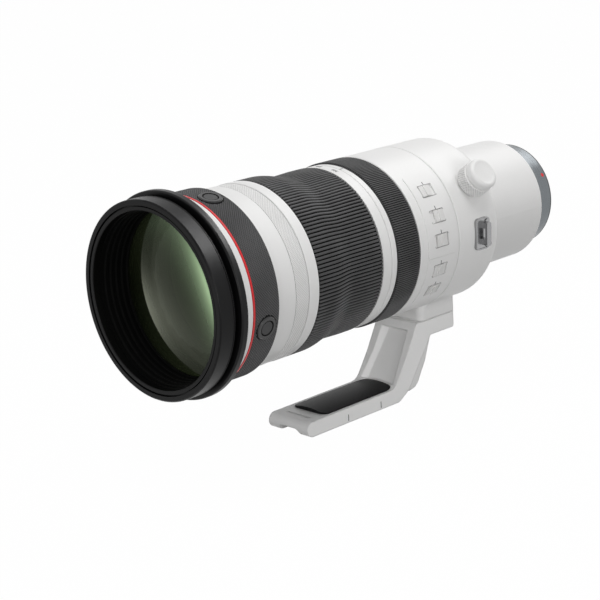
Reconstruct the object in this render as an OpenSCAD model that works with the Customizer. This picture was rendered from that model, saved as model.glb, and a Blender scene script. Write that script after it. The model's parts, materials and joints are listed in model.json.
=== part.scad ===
// Super telephoto zoom lens with a rotating tripod collar and foot.
// +Y runs along the optical axis from the front rim to the mount, +Z is up,
// and the origin is the centre of the mount's flange face. Stations, named t_, are
// distances from the front rim along the axis. Clock angles are measured from +Z
// towards +X.

/* [Front rings] */
// Rise of the satin band behind the front lip over the front barrel
band_rise = 4.4; // [3.6:0.1:6]
// Length of the filter ring
band_len = 11; // [9:0.2:14]
// Radius of the rounding at the front lip
lip_round = 0.9; // [0.5:0.1:2]
// Nominal diameter of the filter thread
filter_thread_d = 105; // [104:0.5:105.5]
// Pitch of the filter thread
filter_thread_pitch = 1; // [0.5:0.05:1.25]
// Length of the filter thread
filter_thread_len = 5; // [3:0.5:5.5]
// Rise of the neck behind the filter ring over the front barrel
neck_rise = 1.7; // [1:0.1:3]
// Length of the neck behind the filter ring
neck_len = 2.7; // [1:0.1:4]
// Rise of the hood flange over the front barrel
flange_rise = 7; // [6:0.1:9]
// Length of the hood flange
flange_len = 4.9; // [4:0.1:7]
// Rise of the white trim ring over the front barrel
trim_rise = 2; // [1:0.1:3]
// Length of the white trim ring
trim_len = 8; // [6:0.2:12]
// Rise of the red ring over the front barrel
red_rise = 2.2; // [1:0.1:3]
// Length of the red ring
red_len = 1.2; // [0.8:0.1:2.4]
// Rise of the knurled button ring over the front barrel
button_ring_rise = 2.4; // [2:0.1:3.5]
// Length of the knurled button ring
button_ring_len = 18.4; // [17:0.2:26]

/* [Buttons] */
// Diameter of a function button
button_d = 8; // [6:0.1:9]
// Diameter over a button's bezel
bezel_d = 14; // [12:0.1:15]
// Hole in a button's bezel
bezel_hole_d = 9.6; // [9.2:0.1:10.4]
// Travel of a function button
button_travel = 0.6; // [0.3:0.05:0.8]
// Clock angle of the first function button
button_clock = 15.5; // [0:0.5:80]

/* [Barrel] */
// Wall of the front barrel over the filter thread's nominal size
front_wall = 1.5; // [1:0.1:2]
// Length of the white band behind the button ring
front_band_len = 15.3; // [12:0.1:24]
// Step of the control ring below the front barrel
control_ring_step = 0.2; // [0:0.1:0.8]
// Length of the control ring
control_ring_len = 10.5; // [7:0.1:18]
// Rise of the white band before the zoom ring over the front barrel
mid_band_rise = 0.1; // [0:0.1:1]
// Length of the white band before the zoom ring
mid_band_len = 7.8; // [5:0.1:14]
// Length of the zoom ring's rubber
zoom_grip_len = 56.7; // [52:0.1:70]
// Main grooves around the zoom rubber
zoom_grooves = 56; // [40:1:80]
// Step of the zoom rubber's rear below the switch section
zoom_rear_step = 0.8; // [0:0.1:1.5]
// Depth of the zoom rubber's waist below its rear
zoom_waist_depth = 0.6; // [0.2:0.1:1]
// Length of the zoom ring's white skirt
skirt_len = 7.6; // [5:0.1:14]
// Step of the skirt and the index ring below the switch section
skirt_step = 1; // [0:0.1:2]
// Length of the index ring
index_ring_len = 4.4; // [3:0.1:9]
// Length of the focus ring
focus_ring_len = 19.8; // [14:0.1:30]
// Length of the switch section
switch_len = 35.8; // [33:0.1:44]
// Step of the switch section below the front barrel
switch_step = 1.5; // [1:0.1:2]
// Diameter of the rear barrel at the collar
rear_front_d = 80.4; // [79:0.2:82]
// Diameter of the rear barrel at the mount
rear_back_d = 79.4; // [78:0.2:81]
// Length of the rear barrel behind the collar
rear_len = 49.3; // [40:0.1:70]

/* [Mount] */
// Diameter of the metal mount ring
mount_d = 69; // [68:0.1:71]
// Length of the metal mount ring
mount_len = 17.7; // [14:0.1:24]
// Diameter of the bayonet's spigot
spigot_d = 50; // [49:0.1:51]
// Length of the spigot behind the flange face
spigot_len = 6; // [5:0.1:8]
// Diameter over the bayonet's three lugs
lug_d = 54; // [53:0.1:55]
// Thickness of a bayonet lug
lug_t = 1.8; // [1.2:0.1:2.4]

/* [Switches] */
// Length of a switch's window along the axis
window_len = 12; // [11:0.1:13]
// Width of a switch's window around the barrel
window_w = 7.8; // [7:0.1:8]
// Length of a slider's cap along the axis
slider_len = 8.4; // [8:0.1:9]
// Height of the raised upper panel
panel_rise = 0.5; // [0.3:0.05:0.9]
// Height of the lower panel
lower_panel_rise = 0.3; // [0.2:0.05:0.6]
// Depth of a window's floor below the barrel's surface
window_depth = 0.5; // [0.4:0.05:0.7]

/* [Tripod collar] */
// Rise of the collar over the switch section
collar_rise = 0.1; // [0:0.05:1]
// Length of the collar with its shoulder
collar_len = 50; // [46:0.1:60]
// Width of the pedestal and the foot
foot_w = 34; // [32:0.5:40]
// Length of the pedestal along the axis
pedestal_len = 35; // [33:0.5:37]
// Height of the pedestal's straight end below the collar
pedestal_below = 7.6; // [6:0.1:10]
// Radius of the fillet between collar and pedestal
pedestal_fillet = 8; // [5:0.5:9]

/* [Foot] */
// Distance from the optical axis to the foot's underside
foot_drop = 108.2; // [106:0.2:118]
// Thickness of the foot's plate
plate_t = 9.6; // [9:0.2:12]
// How far the plate reaches ahead of the pedestal
plate_reach = 107; // [100:0.5:120]
// Thickness of the foot's top flange
foot_flange_t = 10.8; // [9:0.1:12]
// Length of the rubber pad
pad_len = 63.8; // [50:0.5:64]
// Width of the rubber pad
pad_w = 28.6; // [24:0.2:29]
// Height of the rubber pad over the plate
pad_rise = 2; // [1.2:0.1:3]
// Minor radius of the small tripod thread
small_thread_r = 2.6; // [2.5:0.05:2.8]
// Minor radius of the large tripod thread
large_thread_r = 4; // [3.9:0.05:4.2]
// Depth of both tripod threads
tripod_thread_len = 8; // [6:0.1:9]

/* [Lock knob] */
// Diameter of the lock knob
knob_d = 21.6; // [18:0.2:24]
// Height of the lock knob over the collar
knob_h = 14; // [11:0.2:17]
// Clock angle of the lock knob
knob_clock = 55.5; // [50:0.1:60]
// How far the brake shoe backs off
shoe_travel = 0.8; // [0.3:0.05:0.9]

/* [Zoom and focus] */
// Turn of the zoom ring, in degrees
zoom_turn = 80; // [60:1:90]
// Travel of the zoom group
zoom_travel = 30; // [20:0.5:32]
// Travel of the focus group to each side
focus_travel = 10; // [5:0.5:11]

/* [Hidden] */
$fn = 96;

// Clearances and small common sizes
over = 1;
ring_gap = 0.3;
run_gap = 0.3;
seat_gap = 0.05;
shaft_gap = 0.08;
edge = 0.4;
wall = 1.4;

// Stations along the axis, from the front rim
t_neck = band_len;
t_flange = t_neck + neck_len;
t_trim = t_flange + flange_len;
t_red = t_trim + trim_len;
t_button = t_red + red_len;
t_band = t_button + button_ring_len;
t_band_end = t_band + front_band_len;
t_control = t_band_end + ring_gap;
t_mid = t_control + control_ring_len + ring_gap;
t_mid_end = t_mid + mid_band_len;
t_zoom = t_mid_end + ring_gap;
t_skirt = t_zoom + zoom_grip_len;
t_index = t_skirt + skirt_len + ring_gap;
t_index_end = t_index + index_ring_len;
t_focus = t_index_end + ring_gap;
t_focus_end = t_focus + focus_ring_len;
t_switch = t_focus_end + ring_gap;
t_switch_end = t_switch + switch_len;
t_collar = t_switch_end + ring_gap;
t_rear = t_collar + collar_len + ring_gap;
t_mount = t_rear + rear_len;
lens_len = t_mount + mount_len;

// Colours
white_paint = "#e6e5e0";
black_paint = "#2b2b2c";
rubber_black = "#1c1c1c";
metal = "#9a9b9c";
glass_green = "#2f3a2c";
brass_tone = "#b99b55";

// Filter ring
thread_depth_share = 1.0825;
front_band_d = filter_thread_d + 2 * front_wall;
band_d = front_band_d + 2 * band_rise;
neck_d = front_band_d + 2 * neck_rise;
flange_d = front_band_d + 2 * flange_rise;
trim_d = front_band_d + 2 * trim_rise;
red_d = front_band_d + 2 * red_rise;
button_ring_d = front_band_d + 2 * button_ring_rise;
control_ring_d = front_band_d - 2 * control_ring_step;
mid_band_d = front_band_d + 2 * mid_band_rise;
switch_d = front_band_d - 2 * switch_step;
zoom_front_d = mid_band_d;
zoom_rear_d = switch_d - 2 * zoom_rear_step;
zoom_waist_d = zoom_rear_d - 2 * zoom_waist_depth;
skirt_d = switch_d - 2 * skirt_step;
focus_ring_d = switch_d;
collar_d = switch_d + 2 * collar_rise;
pedestal_drop = collar_d / 2 + pedestal_below;
thread_r = (filter_thread_d - thread_depth_share * filter_thread_pitch) / 2;
inner_lip_t = 0.5;
inner_lip_w = 2.2;
face_groove_w = 0.9;
face_groove_depth = 2.2;
outer_lip_w = 3.2;
baffle_bore_r = front_band_d / 2 - wall;
t_baffle = inner_lip_t + filter_thread_len;
line_groove_w = 0.4;
line_groove_depth = 0.3;
line_groove_back = 0.9;

// Front baffle
baffle_seat_gap = 0.1;
baffle_len = 20;
glass_seat_gap = 0.85;
baffle_throat_wall = 2;
baffle_steps = 5;
baffle_rib_share = 0.35;
baffle_rib_h = 0.35;
baffle_front_wall = 1.15;

// Glass: radius of curvature of each face, and edge thickness
front_curve_r = 160;
front_back_curve_r = 600;
front_edge_t = 3;
doublet_curve_r = 200;
doublet_back_curve_r = 250;
doublet_edge_t = 7;
doublet_wall = 2.4;
small_curve_r = 110;
small_edge_t = 4;
dome_steps = 10;

t_front_glass = t_baffle + baffle_len + glass_seat_gap;
front_glass_r = baffle_bore_r - baffle_seat_gap;
t_front_cell = t_front_glass + front_edge_t + seat_gap;
cell_lip_wall = 1.7;
cell_rim_wall = 0.5;
cell_cone_t = 0.4;
front_gap_len = 11;
t_doublet = t_front_cell + front_gap_len;
doublet_r = front_glass_r - doublet_wall;
t_cell_shelf = t_doublet + doublet_edge_t + seat_gap;
cell_shelf_wall = 4;
cell_end_back = 5;
t_cell_end = t_band_end - cell_end_back;

// Button ring
under_ring_r = front_band_d / 2 + seat_gap;
t_buttons = t_button + button_ring_len / 2;
button_step = 90;
bezel_rise = 0.7;
bezel_edge = 0.6;
bezel_r = button_ring_d / 2 + bezel_rise;
bezel_base_r = under_ring_r + bezel_edge;
button_dish = 0.25;
button_foot_d = 5;
button_head_t = 1.4;
button_base_gap = 0.2;

// Main tube
main_spigot_wall = 2.8;
control_stack = 2.6;
zoom_stack = 3.5;
focus_stack = 3.9;
switch_wall = 2.5;
control_seat_r = control_ring_d / 2 - control_stack;
zoom_seat_r = zoom_waist_d / 2 - zoom_stack;
main_bore_front_r = front_glass_r - main_spigot_wall;
tube_wall = 1.6;
main_bore_r = zoom_seat_r - tube_wall;
focus_seat_r = focus_ring_d / 2 - focus_stack;
switch_bore_r = switch_d / 2 - switch_wall;
focus_grip_t = 1.9;
main_flange_t = 3;
main_tail_len = 12;
key_clock = 200;
key_half = 3;
key_margin = 1.5;
key_slack = 0.1;
key_len = 6;
key_back = 7;
key_rise = 1.6;
t_key = t_zoom + key_back;
follower_count = 3;
follower_clock = 40;
follower_step = 120;
follower_r = 1.5;
guide_gap = 0.2;

// Zoom ring
sleeve_wall_front = 2.5;
sleeve_wall_waist = 1.7;
zoom_front_share = 0.235;
zoom_waist_share = 0.552;
zoom_edge = 0.8;
zoom_reach_share = 0.4;
zoom_slope_steps = 4;
groove_depth = 0.6;
groove_phase = 0.31;
groove_share = 0.2;
grip_inset = 0.3;
t_zoom_flat = t_zoom + zoom_grip_len * zoom_front_share;
t_zoom_waist = t_zoom + zoom_grip_len * zoom_waist_share;
sleeve_bore_r = zoom_seat_r + run_gap;

// Cam tube and zoom group
cam_out_r = main_bore_r - run_gap;
cam_in_r = cam_out_r - tube_wall;
cam_front_back = 6;
cam_rear_back = 4;
t_cam = t_zoom + cam_front_back;
t_cam_end = t_index - cam_rear_back;
cam_slot_steps = 16;
cam_slot_w = 3.6;
cam_slot_over = 2.2;
variator_back = 20;
t_follower = t_zoom + variator_back;
variator_half = 6;
variator_r = cam_in_r - run_gap;
variator_wall = 5;
follower_in = 2;
variator_lens_r = variator_r - variator_wall;

// Iris
iris_len = 6;
iris_plate_t = 1.6;
iris_wall = 2.5;
iris_ring_w = 16;
iris_hole_r = main_bore_r - iris_ring_w;
iris_blades = 9;
blade_t = 0.3;
blade_layers = 3;
blade_gap = 0.3;
blade_span = 52;
blade_margin = 5;
blade_out_r = main_bore_r - blade_margin;
t_iris = t_focus + over;

// Stabiliser
stab_wall = 2.4;
stab_plate_t = 2;
stab_hole_r = iris_hole_r;
stab_frame_t = 3.7;
stab_cell_t = 8;
stab_travel = 1;
stab_side_gap = 1.5;
stab_frame_wall = 8;
stab_ring_t = 2.7;
stab_lens_r = stab_hole_r;
t_stab = t_iris + iris_len + over;
stab_r = main_bore_r - seat_gap;
t_stab_frame = t_stab + stab_plate_t + run_gap;
t_stab_cell = t_stab_frame + stab_frame_t + run_gap;
t_stab_ring = t_stab_cell + stab_cell_t + run_gap;
t_stab_end = t_stab_ring + stab_ring_t;

// Switch section
panel_margin = 6.4;
panel_len = 27.3;
panel_start = 37.8;
panel_split = 98;
panel_end = 136;
panel_corner_r = 3;
panel_gap = 0.4;
panel_corner_steps = 6;
t_panel = t_switch + panel_margin;
t_window = t_panel + panel_len / 2 - over;
switch_clocks = [52.1, 70.5, 86.9, 108.1, 124.7];
switch_rest_shares = [-1, 1, 0, -1, 0];
slider_travel = (window_len - slider_len) / 2 - run_gap;
slider_side_gap = 0.3;
slider_rise = 0.35;
ridge_rise = 0.8;
ridge_len = 1.5;
stem_len = 1.8;
stem_w = 2;
stem_tip = 0.2;
stem_slot_depth = 8;
weld = 0.1;
board_t = 0.7;
board_len = 19;
board_back = 5.5;
main_board_t = 1.6;
main_board_ahead = 9;

// Tripod collar
collar_wall = 4;
seat_r = collar_d / 2 - collar_wall;
collar_bore_r = seat_r + run_gap;
collar_straight_share = 0.68;
shoulder_r = 7;
collar_tail_t = 3;
collar_bore_end_share = 0.76;
pedestal_front_gap = 0.8;
pedestal_corner_r = 4.5;
joint_groove = 0.5;
t_pedestal = t_collar + pedestal_front_gap;
hardware_share = 0.586;
t_hardware = t_pedestal + pedestal_len * hardware_share;
boss_d = 17;
boss_rise = 0.9;

// Rear barrel
rear_spigot_len = 10;
rear_wall = 3.1;
rear_bore_r = rear_back_d / 2 - rear_wall;
seat_wall = 3.1;
seat_bore_r = seat_r - seat_wall;
shelf_t = 3;
rear_plate_t = 2.8;
t_seat_end = t_collar + collar_len * collar_bore_end_share;
rear_shelf_len = 3;
rear_shelf_cone = 1;
rear_shelf_wall = 2.5;
rear_glass_back = 6;
t_rear_glass = t_rear + rear_glass_back;
rear_edge_t = 9;
rear_throat_r = 27;
t_rear_plate = t_mount - rear_plate_t;
trim_line_t = 0.7;
trim_line_rise = 0.25;

// Focus group
rod_step = 3;
rod_r = 1.5;
focus_cell_len = 10;
focus_cell_wall = 9.5;
focus_cell_gap = 2.5;
focus_cell_r = seat_bore_r - focus_cell_gap;
rod_circle_r = focus_cell_r - rod_step;
focus_cell_back = 27;
t_focus_cell = t_switch + focus_cell_back;
motor_span = 30;
motor_gap = 0.3;
t_motor = t_switch_end - rear_spigot_len + over;

// Mount
spigot_wall = 1.8;
spigot_bore_r = spigot_d / 2 - spigot_wall;
mount_bore_len = 12;
lug_count = 3;
lug_span = 52;
lug_back = 1.6;
lug_clock = 20;
gasket_t = 0.9;
gasket_w = 1.1;
mount_screw_r = 1;
mount_head_r = 1.9;
mount_head_t = 1.4;
mount_screw_circle_r = 30.5;
mount_screw_clock = 45;
mount_screw_count = 4;
mount_edge = 0.5;
index_d = 2.6;
index_clock = 60.2;
index_back = 3.4;
index_depth = 1;
baffle_tube_wall = 1.6;
baffle_plate_t = 2;
baffle_window_w = 36;
baffle_window_h = 26;
contact_half = 32;
contact_wall = 4.4;
contact_count = 12;
contact_pin_r = 0.6;
contact_pin_h = 0.5;
contact_tail = 1;

// Lock knob and brake shoe
screw_r = 2.9;
knob_lift = 0.6;
knurl_share = 0.56;
knob_groove_w = 0.8;
knob_groove_depth = 0.7;
knob_cap_inset = 0.6;
knob_round = 2.2;
shoe_d = 9.4;
shoe_t = 1.5;
shoe_gap = 0.1;
shoe_base_r = seat_r + shoe_gap;

// Strap lugs
lug_plate_len = 13;
lug_plate_w = 20.4;
lug_plate_clock = 91.2;
lug_plate_t = 1.6;
lug_plate_corner = 3;
lug_bar_w = 4.2;
lug_bar_len = 15.4;
lug_bar_rise = 5.6;
lug_bar_t = 1.6;
lug_bar_shift = -1.8;
lug_screw_r = 1.7;
lug_screw_rise = 0.7;
lug_screw_shift = 4.1;
lug_screw_spread = 7.3;
lug_sink = 1;

// Foot
flange_corner_r = 5;
nose_r = 4.8;
stalk_lead = 4;
stalk_lean = 26;
stalk_rear = 9;
stalk_height = foot_drop - plate_t - pedestal_drop;
spine_w = 20;
spine_t = 9;
hollow_depth = 4;
hollow_flare = 3.5;
hollow_top = 5;
hollow_top_w = 22;
hollow_bottom_w = 29.2;
hollow_angle = 32;
channel_w = 18;
channel_depth = 4.4;
channel_round = 3.6;
channel_len = 28;
slot_w = 20;
slot_len = 2;
slot_depth = 0.7;
slot_back = 9.5;
mark_w = 0.8;
mark_h = 4.4;
mark_low = 1;
mark_depth = 0.3;
pad_back = 13;
pad_sink = 1;
pad_round = 5;
pad_crown_r = (pad_w * pad_w / 4 + pad_rise * pad_rise) / (2 * pad_rise);
pad_side = 0.4;
bush_wall = 2.2;
small_bush_share = 0.66;
large_bush_share = 0.38;
foot_screw_r = 2;
foot_screw_head_r = 3.6;
foot_screw_head_t = 3.2;
foot_screw_spread = 12;
foot_screw_back = 9;
foot_screw_grip = 6;

// Along the axis, with local Z as the station and local -Y up
module lens_axis() translate([0, -lens_len, 0]) rotate([-90, 0, 0]) children();

// Turned ring from points of radius and station
module turned(points) lens_axis() rotate_extrude() polygon(points);

// Plain tube
module tube(t0, t1, r_out, r_in) turned([[r_in, t0], [r_out, t0], [r_out, t1], [r_in, t1]]);

// Tube with its outer edges broken
module band(t0, t1, r_out, r_in, e = edge)
    turned([[r_in, t0], [r_out - e, t0], [r_out, t0 + e], [r_out, t1 - e], [r_out - e, t1],
            [r_in, t1]]);

// Piece of a ring between two clock angles
module sector(t0, t1, r_in, r_out, a0, a1)
    lens_axis() rotate([0, 0, a0 - 90]) rotate_extrude(angle = a1 - a0)
        polygon([[r_in, t0], [r_out, t0], [r_out, t1], [r_in, t1]]);

// Local Z points out from the axis at a station and a clock angle, local X to the front
module radial(a, t)
    lens_axis() rotate([0, 0, a - 90]) translate([0, 0, t]) rotate([0, 90, 0]) children();

// Cylinder standing out from the axis between two radii
module radial_pin(a, t, r0, r1, r) radial(a, t) translate([0, 0, r0]) cylinder(h = r1 - r0, r = r);

// Depth of a spherical face at a radius
function sag(curve_r, r) = curve_r - sqrt(curve_r * curve_r - r * r);

// Domed face from the rim to the axis, as radius and station; a negative curve is hollow
function dome(curve, r, t, s) = [for (i = [0 : dome_steps])
    let (x = r * (1 - i / dome_steps))
    [x, t + s * sign(curve) * (sag(abs(curve), r) - sag(abs(curve), x))]];

// Glass disc between two domed faces
module glass(t0, edge_t, r, front_curve, back_curve) {
    back = dome(back_curve, r, t0 + edge_t, 1);
    turned(concat(dome(front_curve, r, t0, -1), [for (i = [dome_steps : -1 : 0]) back[i]]));
}

// Rectangle with round corners, centred
module round_rect(w, l, r) {
    square([w - 2 * r, l], center = true);
    square([w, l - 2 * r], center = true);
    for (x = [-1, 1], y = [-1, 1]) translate([x * (w / 2 - r), y * (l / 2 - r)]) circle(r = r);
}

module filter_ring() color(black_paint) {
    groove_in_r = thread_r + inner_lip_w;
    groove_out_r = groove_in_r + face_groove_w;
    difference() {
        union() {
            turned([[thread_r, inner_lip_t + edge], [thread_r + edge, inner_lip_t],
                    [groove_in_r, inner_lip_t], [groove_in_r, face_groove_depth],
                    [groove_out_r, face_groove_depth], [groove_out_r, 0],
                    [band_d / 2 - lip_round, 0], [band_d / 2 - lip_round, lip_round],
                    [band_d / 2, lip_round], [band_d / 2, t_neck - edge],
                    [band_d / 2 - edge, t_neck], [baffle_bore_r, t_neck],
                    [baffle_bore_r, t_baffle], [thread_r, t_baffle]]);
            lens_axis() rotate_extrude() intersection() {
                translate([band_d / 2 - lip_round, lip_round]) circle(r = lip_round);
                translate([band_d / 2 - lip_round, 0]) square(lip_round);
            }
        }
        tube(t_neck - line_groove_back - line_groove_w, t_neck - line_groove_back,
             band_d / 2 + over, band_d / 2 - line_groove_depth);
    }
}

module front_baffle() color(rubber_black) {
    out_r = baffle_bore_r - baffle_seat_gap;
    mouth_r = out_r - baffle_front_wall;
    throat_r = out_r - baffle_throat_wall;
    step_len = baffle_len / baffle_steps;
    step_r = (mouth_r - throat_r) / baffle_steps;
    t0 = t_baffle + seat_gap;
    inner = [for (i = [0 : baffle_steps - 1])
        let (r = mouth_r - step_r * i, t = t0 + step_len * i)
        each [[r, t], [r, t + step_len * (1 - baffle_rib_share)],
              [r - baffle_rib_h, t + step_len * (1 - baffle_rib_share)],
              [r - baffle_rib_h, t + step_len - (i == baffle_steps - 1 ? seat_gap : 0)]]];
    turned(concat(inner, [[out_r, t0 + baffle_len - seat_gap], [out_r, t0]]));
}

module front_element() color(glass_green)
    glass(t_front_glass, front_edge_t, front_glass_r, front_curve_r, front_back_curve_r);

module hood_flange() color(black_paint) {
    tube(t_neck, t_flange, neck_d / 2, under_ring_r);
    round_r = flange_len * 0.22;
    tube(t_flange, t_trim, flange_d / 2 - round_r, under_ring_r);
    tube(t_flange + round_r, t_trim - round_r, flange_d / 2, flange_d / 2 - round_r);
    for (t = [t_flange + round_r, t_trim - round_r])
        lens_axis() rotate_extrude() intersection() {
            translate([flange_d / 2 - round_r, t]) circle(r = round_r);
            translate([flange_d / 2 - round_r, t - round_r]) square([round_r, 2 * round_r]);
        }
}

module trim_ring() color(white_paint) band(t_trim, t_red, trim_d / 2, under_ring_r);

module red_ring() color("#c8161d") tube(t_red, t_button, red_d / 2, under_ring_r);

module button_ring() color("#3a3a3b") difference() {
    band(t_button, t_band, button_ring_d / 2, under_ring_r, edge * 2);
    for (i = [0 : 3])
        radial_pin(button_clock + i * button_step, t_buttons, under_ring_r - over,
                   bezel_r + over, bezel_d / 2);
}

module button_bezels() color("#3a3a3b") for (i = [0 : 3])
    radial(button_clock + i * button_step, t_buttons) difference() {
        union() {
            translate([0, 0, bezel_base_r])
                cylinder(h = bezel_r - bezel_edge - bezel_base_r, r = bezel_d / 2 - seat_gap);
            translate([0, 0, bezel_r - bezel_edge])
                cylinder(h = bezel_edge, r1 = bezel_d / 2 - seat_gap, r2 = bezel_d / 2 - bezel_edge);
        }
        translate([0, 0, bezel_base_r - over])
            cylinder(h = bezel_r + 2 * over - bezel_base_r, r = bezel_hole_d / 2);
    }

module function_button(i) color("#2e2e2f")
    radial(button_clock + i * button_step, t_buttons) {
        head_r = bezel_r - button_dish;
        foot_r = under_ring_r + button_travel + button_base_gap;
        translate([0, 0, head_r - button_head_t]) cylinder(h = button_head_t, r = button_d / 2);
        translate([0, 0, foot_r]) cylinder(h = head_r - button_head_t - foot_r, r = button_foot_d / 2);
    }
module function_button_1() function_button(0);
module function_button_2() function_button(1);
module function_button_3() function_button(2);
module function_button_4() function_button(3);

module front_barrel() color(white_paint)
    band(t_neck, t_band_end, front_band_d / 2, baffle_bore_r, edge / 2);

module front_cell() color(rubber_black)
    turned([[front_glass_r - cell_lip_wall, t_front_cell + cell_cone_t],
            [front_glass_r - cell_rim_wall, t_front_cell], [front_glass_r, t_front_cell],
            [front_glass_r, t_cell_end], [front_glass_r - cell_shelf_wall, t_cell_end],
            [front_glass_r - cell_shelf_wall, t_cell_shelf], [doublet_r + seat_gap, t_cell_shelf],
            [doublet_r + seat_gap, t_doublet - over], [front_glass_r - cell_lip_wall, t_doublet - over]]);

module front_doublet() color(glass_green)
    glass(t_doublet, doublet_edge_t, doublet_r, doublet_curve_r, -doublet_back_curve_r);

module control_ring() color(white_paint)
    band(t_control, t_control + control_ring_len, control_ring_d / 2, control_seat_r + run_gap);

module main_tube() color(white_paint) difference() {
    turned([[main_bore_front_r, t_cell_end + seat_gap], [front_glass_r, t_cell_end + seat_gap],
            [front_glass_r, t_band_end], [control_seat_r, t_band_end], [control_seat_r, t_mid],
            [mid_band_d / 2 - edge, t_mid], [mid_band_d / 2, t_mid + edge],
            [mid_band_d / 2, t_mid_end - edge], [mid_band_d / 2 - edge, t_mid_end],
            [zoom_seat_r, t_mid_end], [zoom_seat_r, t_index_end], [focus_seat_r, t_index_end],
            [focus_seat_r, t_switch], [switch_bore_r - seat_gap, t_switch],
            [switch_bore_r - seat_gap, t_switch + main_flange_t],
            [focus_seat_r, t_switch + main_flange_t], [focus_seat_r, t_switch + main_tail_len],
            [main_bore_r, t_switch + main_tail_len], [main_bore_r, t_mid_end],
            [main_bore_front_r, t_mid]]);
    sector(t_key - over, t_key + key_len + over, main_bore_r - over, zoom_seat_r + over,
           key_clock - key_half - key_margin, key_clock + zoom_turn + key_half + key_margin);
    for (i = [0 : follower_count - 1])
        radial(follower_clock + i * follower_step, t_follower + zoom_travel / 2)
            translate([0, 0, (main_bore_r + zoom_seat_r) / 2])
                cube([zoom_travel + 2 * follower_r + 2 * over, 2 * (follower_r + guide_gap),
                      tube_wall + 2 * over], center = true);
}

module zoom_sleeve() color(white_paint) difference() {
    front_r = zoom_front_d / 2 - sleeve_wall_front;
    waist_r = zoom_waist_d / 2 - sleeve_wall_waist;
    turned([[sleeve_bore_r, t_zoom], [front_r, t_zoom], [front_r, t_zoom_flat],
            [waist_r, t_zoom_waist], [waist_r, t_skirt], [skirt_d / 2, t_skirt],
            [skirt_d / 2, t_skirt + skirt_len - edge], [skirt_d / 2 - edge, t_skirt + skirt_len],
            [sleeve_bore_r, t_skirt + skirt_len]]);
    sector(t_key - seat_gap, t_key + key_len + seat_gap, sleeve_bore_r - over,
           sleeve_bore_r + key_rise + seat_gap, key_clock - key_half - key_slack,
           key_clock + key_half + key_slack);
}

// Outline of the zoom rubber, eased from its wide front down to the waist
function ease(x) = x * x * (3 - 2 * x);
module zoom_grip() color(rubber_black) {
    front_r = zoom_front_d / 2;
    waist_r = zoom_waist_d / 2;
    rear_r = zoom_rear_d / 2;
    t0 = t_zoom + grip_inset;
    t1 = t_skirt - grip_inset;
    t_reach = t1 - (t1 - t_zoom_waist) * zoom_reach_share;
    slope = [for (i = [0 : zoom_slope_steps])
        [front_r + (waist_r - front_r) * ease(i / zoom_slope_steps),
         t_zoom_flat + (t_zoom_waist - t_zoom_flat) * i / zoom_slope_steps]];
    outer = concat([[front_r - zoom_edge, t0], [front_r, t0 + zoom_edge]], slope,
                   [[rear_r, t_reach], [rear_r, t1 - zoom_edge], [rear_r - zoom_edge, t1]]);
    floor_line = concat([[front_r - groove_depth, t0 - over]],
                        [for (q = slope) [q[0] - groove_depth, q[1]]],
                        [[rear_r - groove_depth, t_reach], [rear_r - groove_depth, t1 + over]]);
    inner = [[waist_r - sleeve_wall_waist + seat_gap, t1],
             [waist_r - sleeve_wall_waist + seat_gap, t_zoom_waist],
             [front_r - sleeve_wall_front + seat_gap, t_zoom_flat],
             [front_r - sleeve_wall_front + seat_gap, t0]];
    // Every second groove between the ribs
    difference() {
        turned(concat(outer, inner));
        for (i = [0 : zoom_grooves - 1])
            lens_axis() rotate([0, 0, (i + groove_phase) * 360 / zoom_grooves - 90])
                rotate_extrude(angle = groove_share * 360 / zoom_grooves)
                    polygon(concat(floor_line, [[front_r + over, t1 + over], [front_r + over, t0 - over]]));
    }
}

module cam_tube() color(metal) {
    difference() {
        tube(t_cam, t_cam_end, cam_out_r, cam_in_r);
        for (i = [0 : follower_count - 1], k = [0 : cam_slot_steps - 1]) {
            share = (k + 0.5) / cam_slot_steps;
            arc = cam_out_r * zoom_turn * PI / 180;
            slope = atan2(zoom_travel, arc);
            piece = norm([arc, zoom_travel]) / cam_slot_steps + 2 * cam_slot_over;
            radial(follower_clock + i * follower_step - zoom_turn * share,
                   t_follower + zoom_travel * share)
                translate([0, 0, (cam_out_r + cam_in_r) / 2]) rotate([0, 0, -slope])
                    cube([cam_slot_w, piece, tube_wall + 2 * over], center = true);
        }
    }
    sector(t_key, t_key + key_len, cam_in_r + tube_wall / 2, sleeve_bore_r + key_rise,
           key_clock - key_half, key_clock + key_half);
}

module variator_cell() color(rubber_black) {
    tube(t_follower - variator_half, t_follower + variator_half, variator_r,
         variator_lens_r + seat_gap);
    for (i = [0 : follower_count - 1])
        radial_pin(follower_clock + i * follower_step, t_follower, variator_r - follower_in,
                   zoom_seat_r - guide_gap, follower_r);
}

module variator_lens() color(glass_green)
    glass(t_follower - small_edge_t / 2, small_edge_t, variator_lens_r, -small_curve_r,
          small_curve_r);

module index_ring() color(white_paint)
    band(t_index, t_index_end, skirt_d / 2, zoom_seat_r + seat_gap);

module iris_unit() color(rubber_black) {
    out_r = main_bore_r - seat_gap;
    difference() {
        tube(t_iris, t_iris + iris_len, out_r, iris_hole_r);
        tube(t_iris + iris_plate_t, t_iris + iris_len - iris_plate_t, out_r - iris_wall,
             iris_hole_r - over);
    }
    for (i = [0 : iris_blades - 1]) {
        t0 = t_iris + iris_plate_t + blade_gap + (i % blade_layers) * (blade_t + blade_gap);
        a0 = i * 360 / iris_blades;
        sector(t0, t0 + blade_t, iris_hole_r + blade_gap, blade_out_r, a0, a0 + blade_span);
    }
}

module focus_sleeve() color(black_paint)
    band(t_focus, t_focus_end, focus_ring_d / 2 - focus_grip_t, focus_seat_r + run_gap);

module focus_grip() color(rubber_black)
    band(t_focus + grip_inset, t_focus_end - grip_inset, focus_ring_d / 2,
         focus_ring_d / 2 - focus_grip_t + seat_gap);

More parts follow.
